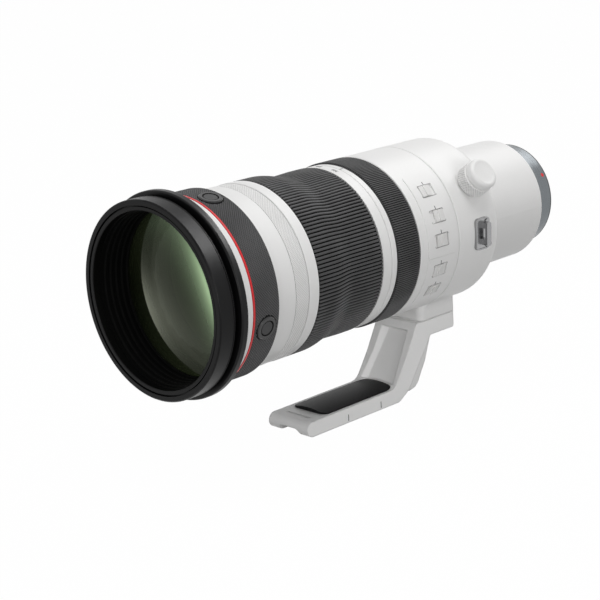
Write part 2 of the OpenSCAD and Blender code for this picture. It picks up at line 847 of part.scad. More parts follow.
module stabiliser_housing() color(metal) {
    difference() {
        tube(t_stab, t_stab_ring, stab_r, stab_hole_r);
        tube(t_stab + stab_plate_t, t_stab_ring + over, stab_r - stab_wall, stab_hole_r - over);
    }
    tube(t_stab_ring, t_stab_end, stab_r, stab_hole_r + stab_wall);
}

module stabiliser_frame() color(rubber_black)
    tube(t_stab_frame, t_stab_frame + stab_frame_t, stab_r - stab_wall - stab_side_gap,
         stab_r - stab_wall - stab_side_gap - stab_frame_wall);

module stabiliser_cell() color(rubber_black)
    tube(t_stab_cell, t_stab_cell + stab_cell_t, stab_r - stab_wall - stab_side_gap,
         stab_lens_r + seat_gap);

module stabiliser_lens() color(glass_green)
    glass(t_stab_cell + (stab_cell_t - small_edge_t) / 2, small_edge_t, stab_lens_r,
          -small_curve_r * 3, small_curve_r * 3);

module switch_barrel() color(white_paint) difference() {
    band(t_switch, t_switch_end, switch_d / 2, switch_bore_r);
    for (i = [0 : len(switch_clocks) - 1]) {
        half = window_w / switch_d * 180 / PI;
        sector(t_window - window_len / 2, t_window + window_len / 2, switch_d / 2 - window_depth,
               switch_d / 2 + over, switch_clocks[i] - half, switch_clocks[i] + half);
        stem_slot = stem_len + 2 * slider_travel + 2 * run_gap;
        radial(switch_clocks[i], t_window) translate([0, 0, switch_d / 2 - window_depth])
            cube([stem_slot, stem_w + 2 * slider_side_gap, stem_slot_depth], center = true);
    }
}

// Raised plate on the barrel with round corners and a window for each switch in it
module panel(a0, a1, rise) difference() {
    r0 = switch_d / 2;
    sector(t_panel, t_panel + panel_len, r0 + seat_gap, r0 + rise, a0, a1);
    inset = panel_corner_r - weld;
    corner_a = asin(inset / r0);
    for (s = [0, 1], e = [0, 1]) {
        a = s == 0 ? a0 + corner_a : a1 - corner_a;
        t = e == 0 ? t_panel + inset : t_panel + panel_len - inset;
        outer = panel_corner_r + over;
        arc = [for (k = [0 : panel_corner_steps]) let (b = 90 * k / panel_corner_steps)
            [panel_corner_r * cos(b), panel_corner_r * sin(b)]];
        radial(a, t) translate([0, 0, r0 - over]) linear_extrude(rise + 2 * over)
            polygon([for (q = concat([[0, outer], [outer, outer], [outer, 0]], arc))
                [e == 0 ? q[0] : -q[0], s == 0 ? -q[1] : q[1]]]);
    }
    for (i = [0 : len(switch_clocks) - 1]) {
        half = window_w / switch_d * 180 / PI;
        sector(t_window - window_len / 2, t_window + window_len / 2, r0 - over, r0 + rise + over,
               switch_clocks[i] - half, switch_clocks[i] + half);
    }
}

module switch_panels() color(white_paint) {
    panel(panel_start, panel_split, panel_rise);
    panel(panel_split + panel_gap, panel_end, lower_panel_rise);
}

module switch_slider(i) color(white_paint) {
    half = (window_w / 2 - slider_side_gap) / (switch_d / 2) * 180 / PI;
    t = t_window + switch_rest_shares[i] * slider_travel;
    floor_r = switch_d / 2 - window_depth + slider_side_gap / 2;
    cap_r = switch_d / 2 + panel_rise + slider_rise;
    sector(t - slider_len / 2, t + slider_len / 2, floor_r, cap_r,
           switch_clocks[i] - half, switch_clocks[i] + half);
    sector(t - ridge_len / 2, t + ridge_len / 2, cap_r - weld, cap_r + ridge_rise,
           switch_clocks[i] - half * 0.9, switch_clocks[i] + half * 0.9);
    radial(switch_clocks[i], t) translate([-stem_len / 2, -stem_w / 2, switch_bore_r - stem_tip])
        cube([stem_len, stem_w, cap_r - switch_bore_r]);
}
module switch_slider_1() switch_slider(0);
module switch_slider_2() switch_slider(1);
module switch_slider_3() switch_slider(2);
module switch_slider_4() switch_slider(3);
module switch_slider_5() switch_slider(4);

module focus_cell() color(rubber_black) difference() {
    tube(t_focus_cell, t_focus_cell + focus_cell_len, focus_cell_r, focus_cell_r - focus_cell_wall);
    for (s = [-1, 1]) lens_axis() translate([0, s * rod_circle_r, t_focus_cell - over])
        cylinder(h = focus_cell_len + 2 * over, r = rod_r + shaft_gap);
}

module focus_lens() color(glass_green)
    glass(t_focus_cell + (focus_cell_len - small_edge_t) / 2, small_edge_t,
          focus_cell_r - focus_cell_wall - seat_gap, small_curve_r * 1.4, small_curve_r * 1.4);

module focus_rods() color(metal) for (s = [-1, 1])
    lens_axis() translate([0, s * rod_circle_r, t_stab_end])
        cylinder(h = t_seat_end - t_stab_end, r = rod_r);

module focus_motors() color(metal) for (a = [90, 270])
    sector(t_motor, t_seat_end, focus_cell_r + motor_gap, seat_bore_r - seat_gap, a - motor_span / 2,
           a + motor_span / 2);

module circuit_boards() color("#1f4a2e") {
    r0 = focus_seat_r + seat_gap;
    sector(t_switch + board_back, t_switch + board_back + board_len, r0, r0 + board_t,
           panel_start, panel_end);
    tube(t_rear_plate - main_board_ahead, t_rear_plate - main_board_ahead + main_board_t,
         rear_bore_r - seat_gap, rear_throat_r);
}

// Collar with its rounded shoulder running down to the rear barrel
module tripod_collar() color(white_paint) difference() {
    out_r = collar_d / 2;
    tail_r = rear_front_d / 2 + run_gap;
    t_tail = t_collar + collar_len;
    t_shoulder = t_collar + collar_len * collar_straight_share;
    union() {
        turned([[tail_r, t_collar], [out_r - edge, t_collar], [out_r, t_collar + edge],
                [out_r, t_shoulder], [out_r - shoulder_r, t_shoulder + shoulder_r],
                [tail_r + edge, t_tail], [tail_r, t_tail]]);
        lens_axis() rotate_extrude() intersection() {
            translate([out_r - shoulder_r, t_shoulder]) circle(r = shoulder_r);
            translate([out_r - shoulder_r, t_shoulder]) square(shoulder_r);
        }
        foot_frame() translate([0, pedestal_len / 2, -pedestal_drop])
            linear_extrude(pedestal_drop - collar_bore_r * 0.72)
                round_rect(foot_w, pedestal_len, pedestal_corner_r);
        intersection() {
            foot_frame() translate([0, pedestal_len / 2, 0]) rotate([90, 0, 0])
                linear_extrude(pedestal_len, center = true) pedestal_outline();
            foot_frame() translate([0, 0, -pedestal_drop]) linear_extrude(pedestal_drop)
                pedestal_reach();
        }
        radial_pin(knob_clock, t_hardware, collar_bore_r + over, out_r + boss_rise, boss_d / 2);
    }
    tube(t_collar - over, t_seat_end + run_gap, collar_bore_r, 0);
    tube(t_collar - over, t_tail + over, tail_r, 0);
    radial_pin(knob_clock, t_hardware, 0, out_r + boss_rise + over, screw_r + shaft_gap);
    radial_pin(knob_clock, t_hardware, 0, shoe_base_r + shoe_t + shoe_travel + seat_gap,
               shoe_d / 2 + shaft_gap);
    for (x = [-1, 1]) {
        translate([x * foot_screw_spread, t_pedestal + pedestal_len - foot_screw_back - lens_len,
                   -pedestal_drop - over])
            cylinder(h = foot_screw_grip + over + seat_gap, r = foot_screw_r + seat_gap);
        for (y = [-1, 1]) radial(x * lug_plate_clock, t_hardware + lug_screw_shift)
            translate([0, y * lug_screw_spread, collar_bore_r + over])
                cylinder(h = out_r, r = lug_screw_r + seat_gap);
        radial(x * lug_plate_clock, t_hardware) translate([0, 0, out_r - lug_sink]) linear_extrude(lug_plate_t * 4)
            round_rect(lug_plate_len + 2 * seat_gap, lug_plate_w + 2 * seat_gap, lug_plate_corner);
    }
}

// Pedestal seen along the axis: straight sides and a hollow fillet up to the collar
module pedestal_outline() {
    out_r = collar_d / 2;
    half = foot_w / 2;
    centre_x = half + pedestal_fillet - weld / 2;
    centre_z = -sqrt(pow(out_r + pedestal_fillet - weld, 2) - pow(centre_x, 2));
    touch = (out_r - over) / (out_r + pedestal_fillet);
    for (s = [-1, 1]) difference() {
        polygon([[0, centre_z], [s * centre_x, centre_z], [s * centre_x * touch, centre_z * touch],
                 [0, centre_z * touch]]);
        translate([s * centre_x, centre_z]) circle(r = pedestal_fillet);
    }
}

// Plan of what the fillets reach, drawn in towards their ends
module pedestal_reach() {
    half = foot_w / 2;
    far = half + pedestal_fillet + over;
    e0 = pedestal_corner_r;
    e1 = pedestal_corner_r + pedestal_fillet * 0.8;
    polygon([[-far, e1], [-half, e0], [half, e0], [far, e1], [far, pedestal_len - e1],
             [half, pedestal_len - e0], [-half, pedestal_len - e0], [-far, pedestal_len - e1]]);
}

// Side view of the stalk and plate, as distance behind the pedestal's front and height
module foot_outline() {
    z0 = -pedestal_drop;
    z_plate = -foot_drop + plate_t;
    polygon([
        [-stalk_lead, z0],
        [-stalk_lead - stalk_lean * 0.45, z0 - stalk_height * 0.55],
        [-stalk_lead - stalk_lean * 0.79, z0 - stalk_height * 0.89],
        [-stalk_lead - stalk_lean * 0.87, z0 - stalk_height * 0.95],
        [-stalk_lead - stalk_lean * 0.96, z0 - stalk_height * 0.985],
        [-stalk_lead - stalk_lean * 1.08, z_plate],
        [-plate_reach + nose_r, z_plate],
        [-plate_reach + nose_r, -foot_drop],
        [-stalk_lead - stalk_lean * 0.77, -foot_drop],
        [-stalk_lead - stalk_lean * 0.69, -foot_drop + plate_t * 0.08],
        [stalk_rear - stalk_lean * 0.94, -foot_drop + plate_t * 0.5],
        [stalk_rear - stalk_lean * 0.83, -foot_drop + plate_t * 0.72],
        [stalk_rear, z0 - foot_flange_t],
        [stalk_rear, z0]
    ]);
    translate([-plate_reach + nose_r, -foot_drop + nose_r]) circle(r = nose_r);
}

module foot_frame() translate([0, t_pedestal - lens_len, 0]) children();

// Side view spread across a width
module across(w) foot_frame() rotate([90, 0, 90]) linear_extrude(w, center = true) children();

// Point on the stalk's front edge for the hollow between its rails
module hollow_end(share, z, w)
    translate([0, -stalk_lead - stalk_lean * share, z]) rotate([-hollow_angle, 0, 0])
        linear_extrude(edge, center = true)
            polygon([[-w / 2 - hollow_flare, -hollow_depth], [w / 2 + hollow_flare, -hollow_depth],
                     [w / 2 - hollow_flare, hollow_depth], [-w / 2 + hollow_flare, hollow_depth]]);

module foot() color(white_paint) difference() {
    union() {
        across(foot_w) foot_outline();
        across(spine_w) polygon([
            [0, -pedestal_drop - over],
            [stalk_rear + spine_t, -pedestal_drop - foot_flange_t + over],
            [stalk_rear + spine_t - stalk_lean * 0.29, -pedestal_drop - stalk_height * 0.776],
            [stalk_rear + spine_t - stalk_lean * 0.585, -foot_drop + plate_t * 0.54],
            [stalk_rear + spine_t - stalk_lean * 0.7, -foot_drop + plate_t * 0.28],
            [stalk_rear + spine_t - stalk_lean * 0.91, -foot_drop + plate_t * 0.15],
            [-stalk_lead - stalk_lean * 0.6, -foot_drop + plate_t * 0.5]]);
        intersection() {
            foot_frame() translate([0, pedestal_len / 2, -pedestal_drop - foot_flange_t])
                linear_extrude(foot_flange_t) round_rect(foot_w, pedestal_len, pedestal_corner_r);
            across(foot_w + 2 * over) {
                translate([-over, -pedestal_drop - foot_flange_t])
                    square([pedestal_len + over - flange_corner_r, foot_flange_t]);
                translate([pedestal_len - flange_corner_r - over,
                           -pedestal_drop - foot_flange_t + flange_corner_r])
                    square([flange_corner_r + over, foot_flange_t - flange_corner_r]);
                translate([pedestal_len - flange_corner_r,
                           -pedestal_drop - foot_flange_t + flange_corner_r])
                    circle(r = flange_corner_r);
            }
        }
    }
    // Hollow in the front of the stalk between its two side rails
    foot_frame() hull() {
        hollow_end(0.1, -pedestal_drop - hollow_top, hollow_top_w);
        hollow_end(0.85, -foot_drop + plate_t + hollow_depth * sin(hollow_angle) + edge,
                   hollow_bottom_w);
    }
    // Fine groove around the joint with the pedestal
    foot_frame() translate([0, 0, -pedestal_drop - joint_groove]) linear_extrude(joint_groove + over)
        difference() {
            translate([-foot_w / 2 - over, 0]) square([foot_w + 2 * over, pedestal_len + over]);
            translate([0, pedestal_len / 2])
                square([foot_w - 2 * joint_groove, pedestal_len - 2 * joint_groove], center = true);
        }
    // Channel under the front of the plate
    foot_frame() translate([0, -plate_reach - over, -foot_drop]) rotate([-90, 0, 0])
        linear_extrude(channel_len + over) round_rect(channel_w, 2 * channel_depth, channel_round);
    // Slot across the top, ahead of the pad
    foot_frame() translate([0, -plate_reach + slot_back, -foot_drop + plate_t - slot_depth])
        linear_extrude(slot_depth + over) square([slot_w, slot_len], center = true);
    // Bed of the rubber pad, open up into the stalk's hollow
    pad_frame() linear_extrude(pad_sink + pad_rise + pad_side + over)
        round_rect(pad_w + 2 * seat_gap, pad_len + 2 * seat_gap, pad_round);
    // Index marks on both sides of the plate
    for (x = [-1, 1], b = [small_bush_share, large_bush_share])
        foot_frame() translate([x * foot_w / 2, -plate_reach * b, -foot_drop + mark_low + mark_h / 2])
            cube([2 * mark_depth, mark_w, mark_h], center = true);
    // Seats of the two threaded bushes and the fixing screws
    for (b = [[small_bush_share, small_thread_r], [large_bush_share, large_thread_r]])
        foot_frame() translate([0, -plate_reach * b[0], -foot_drop - over])
            cylinder(h = tripod_thread_len + over + seat_gap, r = b[1] + bush_wall + seat_gap);
    for (x = [-1, 1]) foot_frame()
        translate([x * foot_screw_spread, pedestal_len - foot_screw_back,
                   -pedestal_drop - foot_flange_t - over]) {
            cylinder(h = foot_flange_t + 2 * over, r = foot_screw_r + seat_gap);
            cylinder(h = foot_screw_head_t + over, r = foot_screw_head_r + seat_gap);
        }
}

module pad_frame() foot_frame()
    translate([0, -plate_reach + nose_r + pad_back + pad_len / 2, -foot_drop + plate_t - pad_sink])
        children();

// Rubber pad, crowned across its width
module foot_pad() color(rubber_black) pad_frame() intersection() {
    linear_extrude(pad_sink + pad_rise + pad_side) round_rect(pad_w, pad_len, pad_round);
    translate([0, 0, pad_sink + pad_side + pad_rise - pad_crown_r]) rotate([90, 0, 0])
        cylinder(h = pad_len + 2 * over, r = pad_crown_r, center = true, $fn = 240);
}

module tripod_bushes() color(metal)
    for (b = [[small_bush_share, small_thread_r], [large_bush_share, large_thread_r]])
        foot_frame() translate([0, -plate_reach * b[0], -foot_drop]) difference() {
            cylinder(h = tripod_thread_len, r = b[1] + bush_wall);
            translate([0, 0, -over]) cylinder(h = tripod_thread_len + 2 * over, r = b[1]);
        }

module foot_screws() color(metal) for (x = [-1, 1]) foot_frame()
    translate([x * foot_screw_spread, pedestal_len - foot_screw_back,
               -pedestal_drop - foot_flange_t]) difference() {
        union() {
            translate([0, 0, edge]) cylinder(h = foot_screw_head_t - edge, r = foot_screw_head_r);
            cylinder(h = foot_flange_t + foot_screw_grip, r = foot_screw_r);
        }
        translate([0, 0, -over])
            cylinder(h = foot_screw_head_t * 0.6 + over, r = foot_screw_r * 0.8, $fn = 6);
    }

// Knob and its screw in one, standing out from the collar
module lock_knob() color(white_paint) radial(knob_clock, t_hardware) {
    base_r = collar_d / 2 + boss_rise + knob_lift;
    knurl_h = knob_h * knurl_share;
    cap_z = base_r + knurl_h + knob_groove_w;
    cap_h = knob_h - knurl_h - knob_groove_w;
    cap_r = knob_d / 2 - knob_cap_inset;
    translate([0, 0, base_r]) cylinder(h = knurl_h, r = knob_d / 2);
    translate([0, 0, base_r + knurl_h]) cylinder(h = knob_groove_w, r = cap_r - knob_groove_depth);
    translate([0, 0, cap_z]) rotate_extrude() {
        square([cap_r - knob_round, cap_h]);
        square([cap_r, cap_h - knob_round]);
        translate([cap_r - knob_round, cap_h - knob_round]) circle(r = knob_round);
    }
    translate([0, 0, shoe_base_r + shoe_t + seat_gap])
        cylinder(h = base_r - shoe_base_r - shoe_t - seat_gap, r = screw_r);
}

module brake_shoe() color(brass_tone)
    radial_pin(knob_clock, t_hardware, shoe_base_r, shoe_base_r + shoe_t, shoe_d / 2);

module strap_lugs() color(metal) for (x = [-1, 1]) radial(x * lug_plate_clock, t_hardware)
    translate([0, 0, collar_d / 2 - lug_sink + seat_gap]) {
        difference() {
            linear_extrude(lug_plate_t) round_rect(lug_plate_len, lug_plate_w, lug_plate_corner);
            for (y = [-1, 1]) translate([-lug_screw_shift, y * lug_screw_spread, -over])
                cylinder(h = lug_plate_t + 2 * over, r = lug_screw_r + seat_gap);
        }
        difference() {
            translate([lug_bar_shift, 0, 0]) linear_extrude(lug_bar_rise)
                round_rect(lug_bar_w, lug_bar_len, lug_bar_w / 2 - edge);
            translate([lug_bar_shift, 0, lug_plate_t + (lug_bar_rise - lug_bar_t - lug_plate_t) / 2])
                cube([lug_bar_w + 2 * over, lug_bar_len - 2 * lug_bar_w,
                      lug_bar_rise - lug_bar_t - lug_plate_t], center = true);
        }
        for (y = [-1, 1]) translate([-lug_screw_shift, y * lug_screw_spread, -over])
            cylinder(h = lug_plate_t + lug_screw_rise + over, r = lug_screw_r);
    }

// Places of the mount's screws around the axis
module screw_places() for (i = [0 : mount_screw_count - 1])
    lens_axis() rotate([0, 0, mount_screw_clock + i * 360 / mount_screw_count])
        translate([mount_screw_circle_r, 0, 0]) children();

module rear_barrel() color(white_paint) {
    t_front = t_switch_end - rear_spigot_len;
    t_shelf = t_seat_end + shelf_t;
    difference() {
        turned([[seat_bore_r, t_front], [switch_bore_r - seat_gap, t_front],
                [switch_bore_r - seat_gap, t_switch_end], [seat_r, t_switch_end], [seat_r, t_seat_end],
                [rear_front_d / 2, t_seat_end], [rear_front_d / 2, t_rear],
                [rear_back_d / 2 + trim_line_rise, t_mount - trim_line_t],
                [rear_back_d / 2 + trim_line_rise, t_mount],
                [rear_throat_r, t_mount], [rear_throat_r, t_rear_plate], [rear_bore_r, t_rear_plate],
                [rear_bore_r, t_rear_glass], [rear_bore_r - rear_shelf_wall, t_rear_glass - rear_shelf_cone],
                [rear_bore_r - rear_shelf_wall, t_rear_glass - rear_shelf_len],
                [rear_bore_r, t_rear_glass - rear_shelf_len], [rear_bore_r, t_seat_end],
                [seat_bore_r, t_seat_end]]);
        screw_places() translate([0, 0, t_rear_plate - over])
            cylinder(h = rear_plate_t + 2 * over, r = mount_screw_r + seat_gap);
    }
}

module rear_lens() color(glass_green)
    glass(t_rear_glass + seat_gap, rear_edge_t, rear_bore_r - seat_gap, small_curve_r, -small_curve_r);

module rear_baffle() color(rubber_black) {
    t1 = t_mount + mount_bore_len - seat_gap;
    out_r = rear_throat_r - seat_gap;
    tube(t_rear_plate, t1, out_r, out_r - baffle_tube_wall);
    lens_axis() translate([0, 0, t1 - baffle_plate_t]) linear_extrude(baffle_plate_t) difference() {
        circle(r = out_r);
        square([baffle_window_w, baffle_window_h], center = true);
    }
}

module mount_ring() color("#b8babd") difference() {
    union() {
        turned([[rear_throat_r, t_mount], [mount_d / 2 - mount_edge, t_mount],
                [mount_d / 2, t_mount + mount_edge], [mount_d / 2, lens_len - gasket_t],
                [mount_d / 2 - gasket_w, lens_len - gasket_t], [mount_d / 2 - gasket_w, lens_len],
                [spigot_d / 2, lens_len], [spigot_d / 2, lens_len + spigot_len],
                [spigot_bore_r, lens_len + spigot_len], [spigot_bore_r, t_mount + mount_bore_len],
                [rear_throat_r, t_mount + mount_bore_len]]);
        for (i = [0 : lug_count - 1]) {
            a0 = lug_clock + i * 360 / lug_count;
            sector(lens_len + lug_back, lens_len + lug_back + lug_t, spigot_d / 2 - edge, lug_d / 2, a0,
                   a0 + lug_span);
        }
    }
    screw_places() translate([0, 0, t_mount - over]) {
        cylinder(h = mount_len + 2 * over, r = mount_screw_r + seat_gap);
        translate([0, 0, mount_len + over - mount_head_t])
            cylinder(h = mount_head_t + over, r = mount_head_r + seat_gap);
    }
    radial_pin(index_clock, lens_len - index_back, mount_d / 2 - index_depth - seat_gap,
               mount_d / 2 + over, index_d / 2 + seat_gap);
}

module mount_gasket() color(rubber_black)
    tube(lens_len - gasket_t, lens_len, mount_d / 2, mount_d / 2 - gasket_w);

module mount_index() color("#c8161d")
    radial_pin(index_clock, lens_len - index_back, mount_d / 2 - index_depth, mount_d / 2,
               index_d / 2);

module mount_screws() color(metal) screw_places() translate([0, 0, t_rear_plate]) difference() {
    shank = rear_plate_t + mount_len - mount_head_t;
    union() {
        cylinder(h = shank + edge, r = mount_screw_r);
        translate([0, 0, shank + seat_gap]) cylinder(h = mount_head_t - 3 * seat_gap, r = mount_head_r);
    }
    for (a = [0, 90]) rotate([0, 0, a]) translate([-mount_head_r, -edge / 2, shank + mount_head_t / 2])
        cube([2 * mount_head_r, edge, mount_head_t]);
}

module contact_block() color(rubber_black)
    sector(t_mount + mount_bore_len, lens_len + spigot_len - contact_tail, spigot_bore_r - contact_wall,
           spigot_bore_r - seat_gap, 180 - contact_half, 180 + contact_half);

module contact_pins() color(brass_tone) for (i = [0 : contact_count - 1]) {
    a = 180 + contact_half * 1.8 * (i / (contact_count - 1) - 0.5);
    lens_axis() rotate([0, 0, a - 90])
        translate([spigot_bore_r - contact_wall / 2, 0, lens_len + spigot_len - contact_tail])
            cylinder(h = contact_pin_h, r = contact_pin_r);
}

filter_ring();
front_baffle();
front_element();
hood_flange();
trim_ring();
red_ring();
button_ring();
button_bezels();
function_button_1();
function_button_2();
function_button_3();
function_button_4();
front_barrel();
front_cell();
front_doublet();
control_ring();
main_tube();
zoom_sleeve();
zoom_grip();
cam_tube();
variator_cell();
variator_lens();
index_ring();
iris_unit();
focus_sleeve();
focus_grip();
stabiliser_housing();
stabiliser_frame();
stabiliser_cell();
stabiliser_lens();
switch_barrel();
switch_panels();
switch_slider_1();
switch_slider_2();
switch_slider_3();
switch_slider_4();
switch_slider_5();
focus_cell();
focus_lens();
focus_rods();
focus_motors();
circuit_boards();
tripod_collar();
foot();
foot_pad();
foot_screws();
tripod_bushes();
lock_knob();
brake_shoe();
strap_lugs();
rear_barrel();
rear_lens();
rear_baffle();
mount_ring();
mount_gasket();
mount_index();
mount_screws();
contact_block();
contact_pins();
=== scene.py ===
import json
import math

import bpy
from mathutils import Matrix, Vector


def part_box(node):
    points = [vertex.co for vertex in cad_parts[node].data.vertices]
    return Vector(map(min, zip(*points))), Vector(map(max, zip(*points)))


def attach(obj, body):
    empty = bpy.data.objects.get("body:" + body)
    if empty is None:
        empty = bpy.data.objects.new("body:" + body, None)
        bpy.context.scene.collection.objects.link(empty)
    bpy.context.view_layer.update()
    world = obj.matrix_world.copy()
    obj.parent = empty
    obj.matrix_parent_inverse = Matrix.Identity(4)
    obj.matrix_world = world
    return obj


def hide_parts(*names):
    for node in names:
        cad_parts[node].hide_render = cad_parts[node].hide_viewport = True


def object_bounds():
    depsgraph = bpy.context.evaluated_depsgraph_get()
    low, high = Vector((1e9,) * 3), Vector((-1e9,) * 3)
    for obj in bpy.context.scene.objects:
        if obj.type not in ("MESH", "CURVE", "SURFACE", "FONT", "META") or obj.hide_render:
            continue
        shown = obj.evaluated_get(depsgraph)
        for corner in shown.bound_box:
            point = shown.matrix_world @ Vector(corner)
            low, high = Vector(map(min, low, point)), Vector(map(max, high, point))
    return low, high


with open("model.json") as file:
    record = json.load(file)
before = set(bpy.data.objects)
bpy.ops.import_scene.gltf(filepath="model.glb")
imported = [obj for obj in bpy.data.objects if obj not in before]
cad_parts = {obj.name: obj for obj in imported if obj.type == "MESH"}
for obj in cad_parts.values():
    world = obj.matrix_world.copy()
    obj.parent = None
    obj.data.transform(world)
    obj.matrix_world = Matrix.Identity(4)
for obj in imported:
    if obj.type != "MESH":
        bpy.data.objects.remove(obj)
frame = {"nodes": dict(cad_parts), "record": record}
cad_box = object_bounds()
nodes = frame["nodes"]

# Sizes here are in mm as in the CAD, and the scene is in metres. A place on the lens is a station t along
# the axis from the front rim, a radius r, and a clock angle a from the top towards the switches.
MM = 0.001
TO_MM = 1000.0
TAU = 2 * math.pi
LEN = round(-cad_box[0][1] / MM, 3)


def spot(t, r, a):
    """The place in the scene of a station, a radius and a clock angle."""
    return Vector((r * math.sin(a) * MM, (t - LEN) * MM, r * math.cos(a) * MM))


def span(node):
    """First and last station of a CAD node."""
    low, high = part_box(node)
    return round(low[1] / MM + LEN, 3), round(high[1] / MM + LEN, 3)


def reach(node):
    """Outer radius of a CAD node that is round about the axis."""
    return round(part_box(node)[1][0] / MM, 3)


# The lock knob stands on the collar's middle, between the strap lugs
HARDWARE_T = sum(span("lock_knob")) / 2
KNOB_CLOCK = math.radians(55.5)


# Material nodes
class Graph:
    """Short calls for making the nodes of a material or of the world."""

    def __init__(self, owner, output):
        owner.use_nodes = True
        self.owner = owner
        self.tree = owner.node_tree
        self.tree.nodes.clear()
        self.out = self.tree.nodes.new(output)

    def put(self, node, key, value):
        """Set or link an input, by its number or by its name with underscores."""
        socket = node.inputs[key if isinstance(key, int) else key.replace("_", " ")]
        if isinstance(value, bpy.types.NodeSocket):
            self.tree.links.new(value, socket)
        else:
            socket.default_value = value

    def add(self, kind, *values, **inputs):
        """New node, with values for its first inputs and for the inputs named."""
        node = self.tree.nodes.new(kind)
        for key, value in enumerate(values):
            self.put(node, key, value)
        for key, value in inputs.items():
            self.put(node, key, value)
        return node

    def surface(self, shader):
        """Make a shader the owner's surface."""
        self.tree.links.new(shader, self.out.inputs["Surface"])
        return self.owner

    def math(self, operation, *values):
        """Result of a Math node."""
        node = self.add("ShaderNodeMath", *values)
        node.operation = operation
        return node.outputs[0]

    def plus(self, a, b):
        return self.math("ADD", a, b)

    def minus(self, a, b):
        return self.math("SUBTRACT", a, b)

    def times(self, product, *others):
        for other in others:
            product = self.math("MULTIPLY", product, other)
        return product

    def above_zero(self, a):
        return self.math("MAXIMUM", a, 0.0)

    def exp(self, a, over):
        """Exponential of a divided by over."""
        return self.math("EXPONENT", self.math("DIVIDE", a, over))

    def distance(self, a, b):
        """How far a and b together lead from zero."""
        return self.math("SQRT", self.plus(self.times(a, a), self.times(b, b)))

    def fit(self, value, low, high, start=0.0, end=1.0):
        """A number that goes from low to high as the value goes from start to end."""
        return self.add("ShaderNodeMapRange", Value=value, From_Min=start, From_Max=end, To_Min=low,
                        To_Max=high).outputs["Result"]

    def color(self, value, low, high, start=0.0, end=1.0):
        """A colour that goes from low to high as the value goes from start to end."""
        node = self.add("ShaderNodeValToRGB", value)
        for element, place, color in zip(node.color_ramp.elements, (start, end), (low, high)):
            element.position = place
            element.color = (*color, 1.0)
        return node.outputs["Color"]

    def mix(self, share, a, b):
        return self.add("ShaderNodeMixShader", share, a, b).outputs[0]

    def diffuse(self, color):
        """Plain matt shader of a linked or a written colour."""
        if not isinstance(color, bpy.types.NodeSocket):
            color = (*color, 1)
        return self.add("ShaderNodeBsdfDiffuse", Color=color).outputs[0]


# Most of a noise's values lie between these two
QUIET = 0.3
LOUD = 0.7
# Noise scales per metre: orange peel in paint, and the grain of rubber
PEEL = 1400.0
RUBBER_GRAIN = 2600.0


class Finish(Graph):
    """Nodes of one material, whose noises and places are in the piece's own coordinates."""

    def __init__(self, name):
        super().__init__(bpy.data.materials.new(name), "ShaderNodeOutputMaterial")
        self.coords = self.add("ShaderNodeTexCoord").outputs["Object"]

    def place(self):
        """x, y and z of the shaded point, in metres."""
        return self.add("ShaderNodeSeparateXYZ", self.coords).outputs

    def noise(self, scale, detail=3.0, rough=0.5, at=None):
        at = self.coords if at is None else at
        node = self.add("ShaderNodeTexNoise", Vector=at, Scale=scale, Detail=detail, Roughness=rough)
        return node.outputs["Fac"]

    def spread(self, noise, low, high):
        """The noise's values spread from low to high."""
        return self.fit(noise, low, high, QUIET, LOUD)

    def mottled(self, noise, color, dark, light, start=QUIET, end=LOUD):
        """The colour times dark to the colour times light, by the noise."""
        low = tuple(c * dark for c in color)
        high = tuple(c * light for c in color)
        return self.color(noise, low, high, start, end)

    def soft_edges(self, radius):
        """Normals rounded over the edges, as on a painted casting."""
        node = self.add("ShaderNodeBevel", Radius=radius * MM)
        node.samples = 6
        return node.outputs["Normal"]

    def bump(self, height, strength, depth, normal=None):
        node = self.add("ShaderNodeBump", Height=height, Strength=strength, Distance=depth * MM)
        if normal is not None:
            self.put(node, "Normal", normal)
        return node.outputs["Normal"]

    def finished(self, **inputs):
        """The material, with one main shader that has these inputs."""
        return self.surface(self.add("ShaderNodeBsdfPrincipled", **inputs).outputs[0])


# Finishes
def paint(name, color, rough=0.42, grain=0.10, dirt=0.02, level=0.5, soft=None):
    """Satin paint or moulded plastic: fine orange peel and small changes of tone and gloss. Edges are
    shaded round with the radius soft, if there is one."""
    g = Finish(name)
    fine = g.noise(PEEL, 2.0)
    broad = g.noise(28.0, 4.0)
    tone = g.plus(g.times(fine, 0.35), g.times(broad, 0.65))
    edges = None if soft is None else g.soft_edges(soft)
    return g.finished(Base_Color=g.mottled(tone, color, 1 - dirt, 1 + dirt),
                      Roughness=g.spread(broad, rough - 0.04, rough + 0.04),
                      Normal=g.bump(fine, grain, 0.04, edges),
                      Specular_IOR_Level=level)


def ringed(name, low, high, r0, r1, rough, grain=0.1, level=0.5, wear=0.08):
    """Finish whose colour changes from radius r0 to r1, such as a knurl with painted shade in its valleys.
    """
    g = Finish(name)
    place = g.place()
    fine = g.noise(PEEL, 2.0)
    out = g.fit(g.distance(place["X"], place["Z"]), 0.0, 1.0, r0 * MM, r1 * MM)
    rubbed = g.spread(g.noise(40.0, 4.0), -wear, wear)
    return g.finished(Base_Color=g.color(g.plus(out, rubbed), low, high),
                      Roughness=g.spread(fine, rough - 0.05, rough + 0.05),
                      Normal=g.bump(fine, grain, 0.03),
                      Specular_IOR_Level=level)


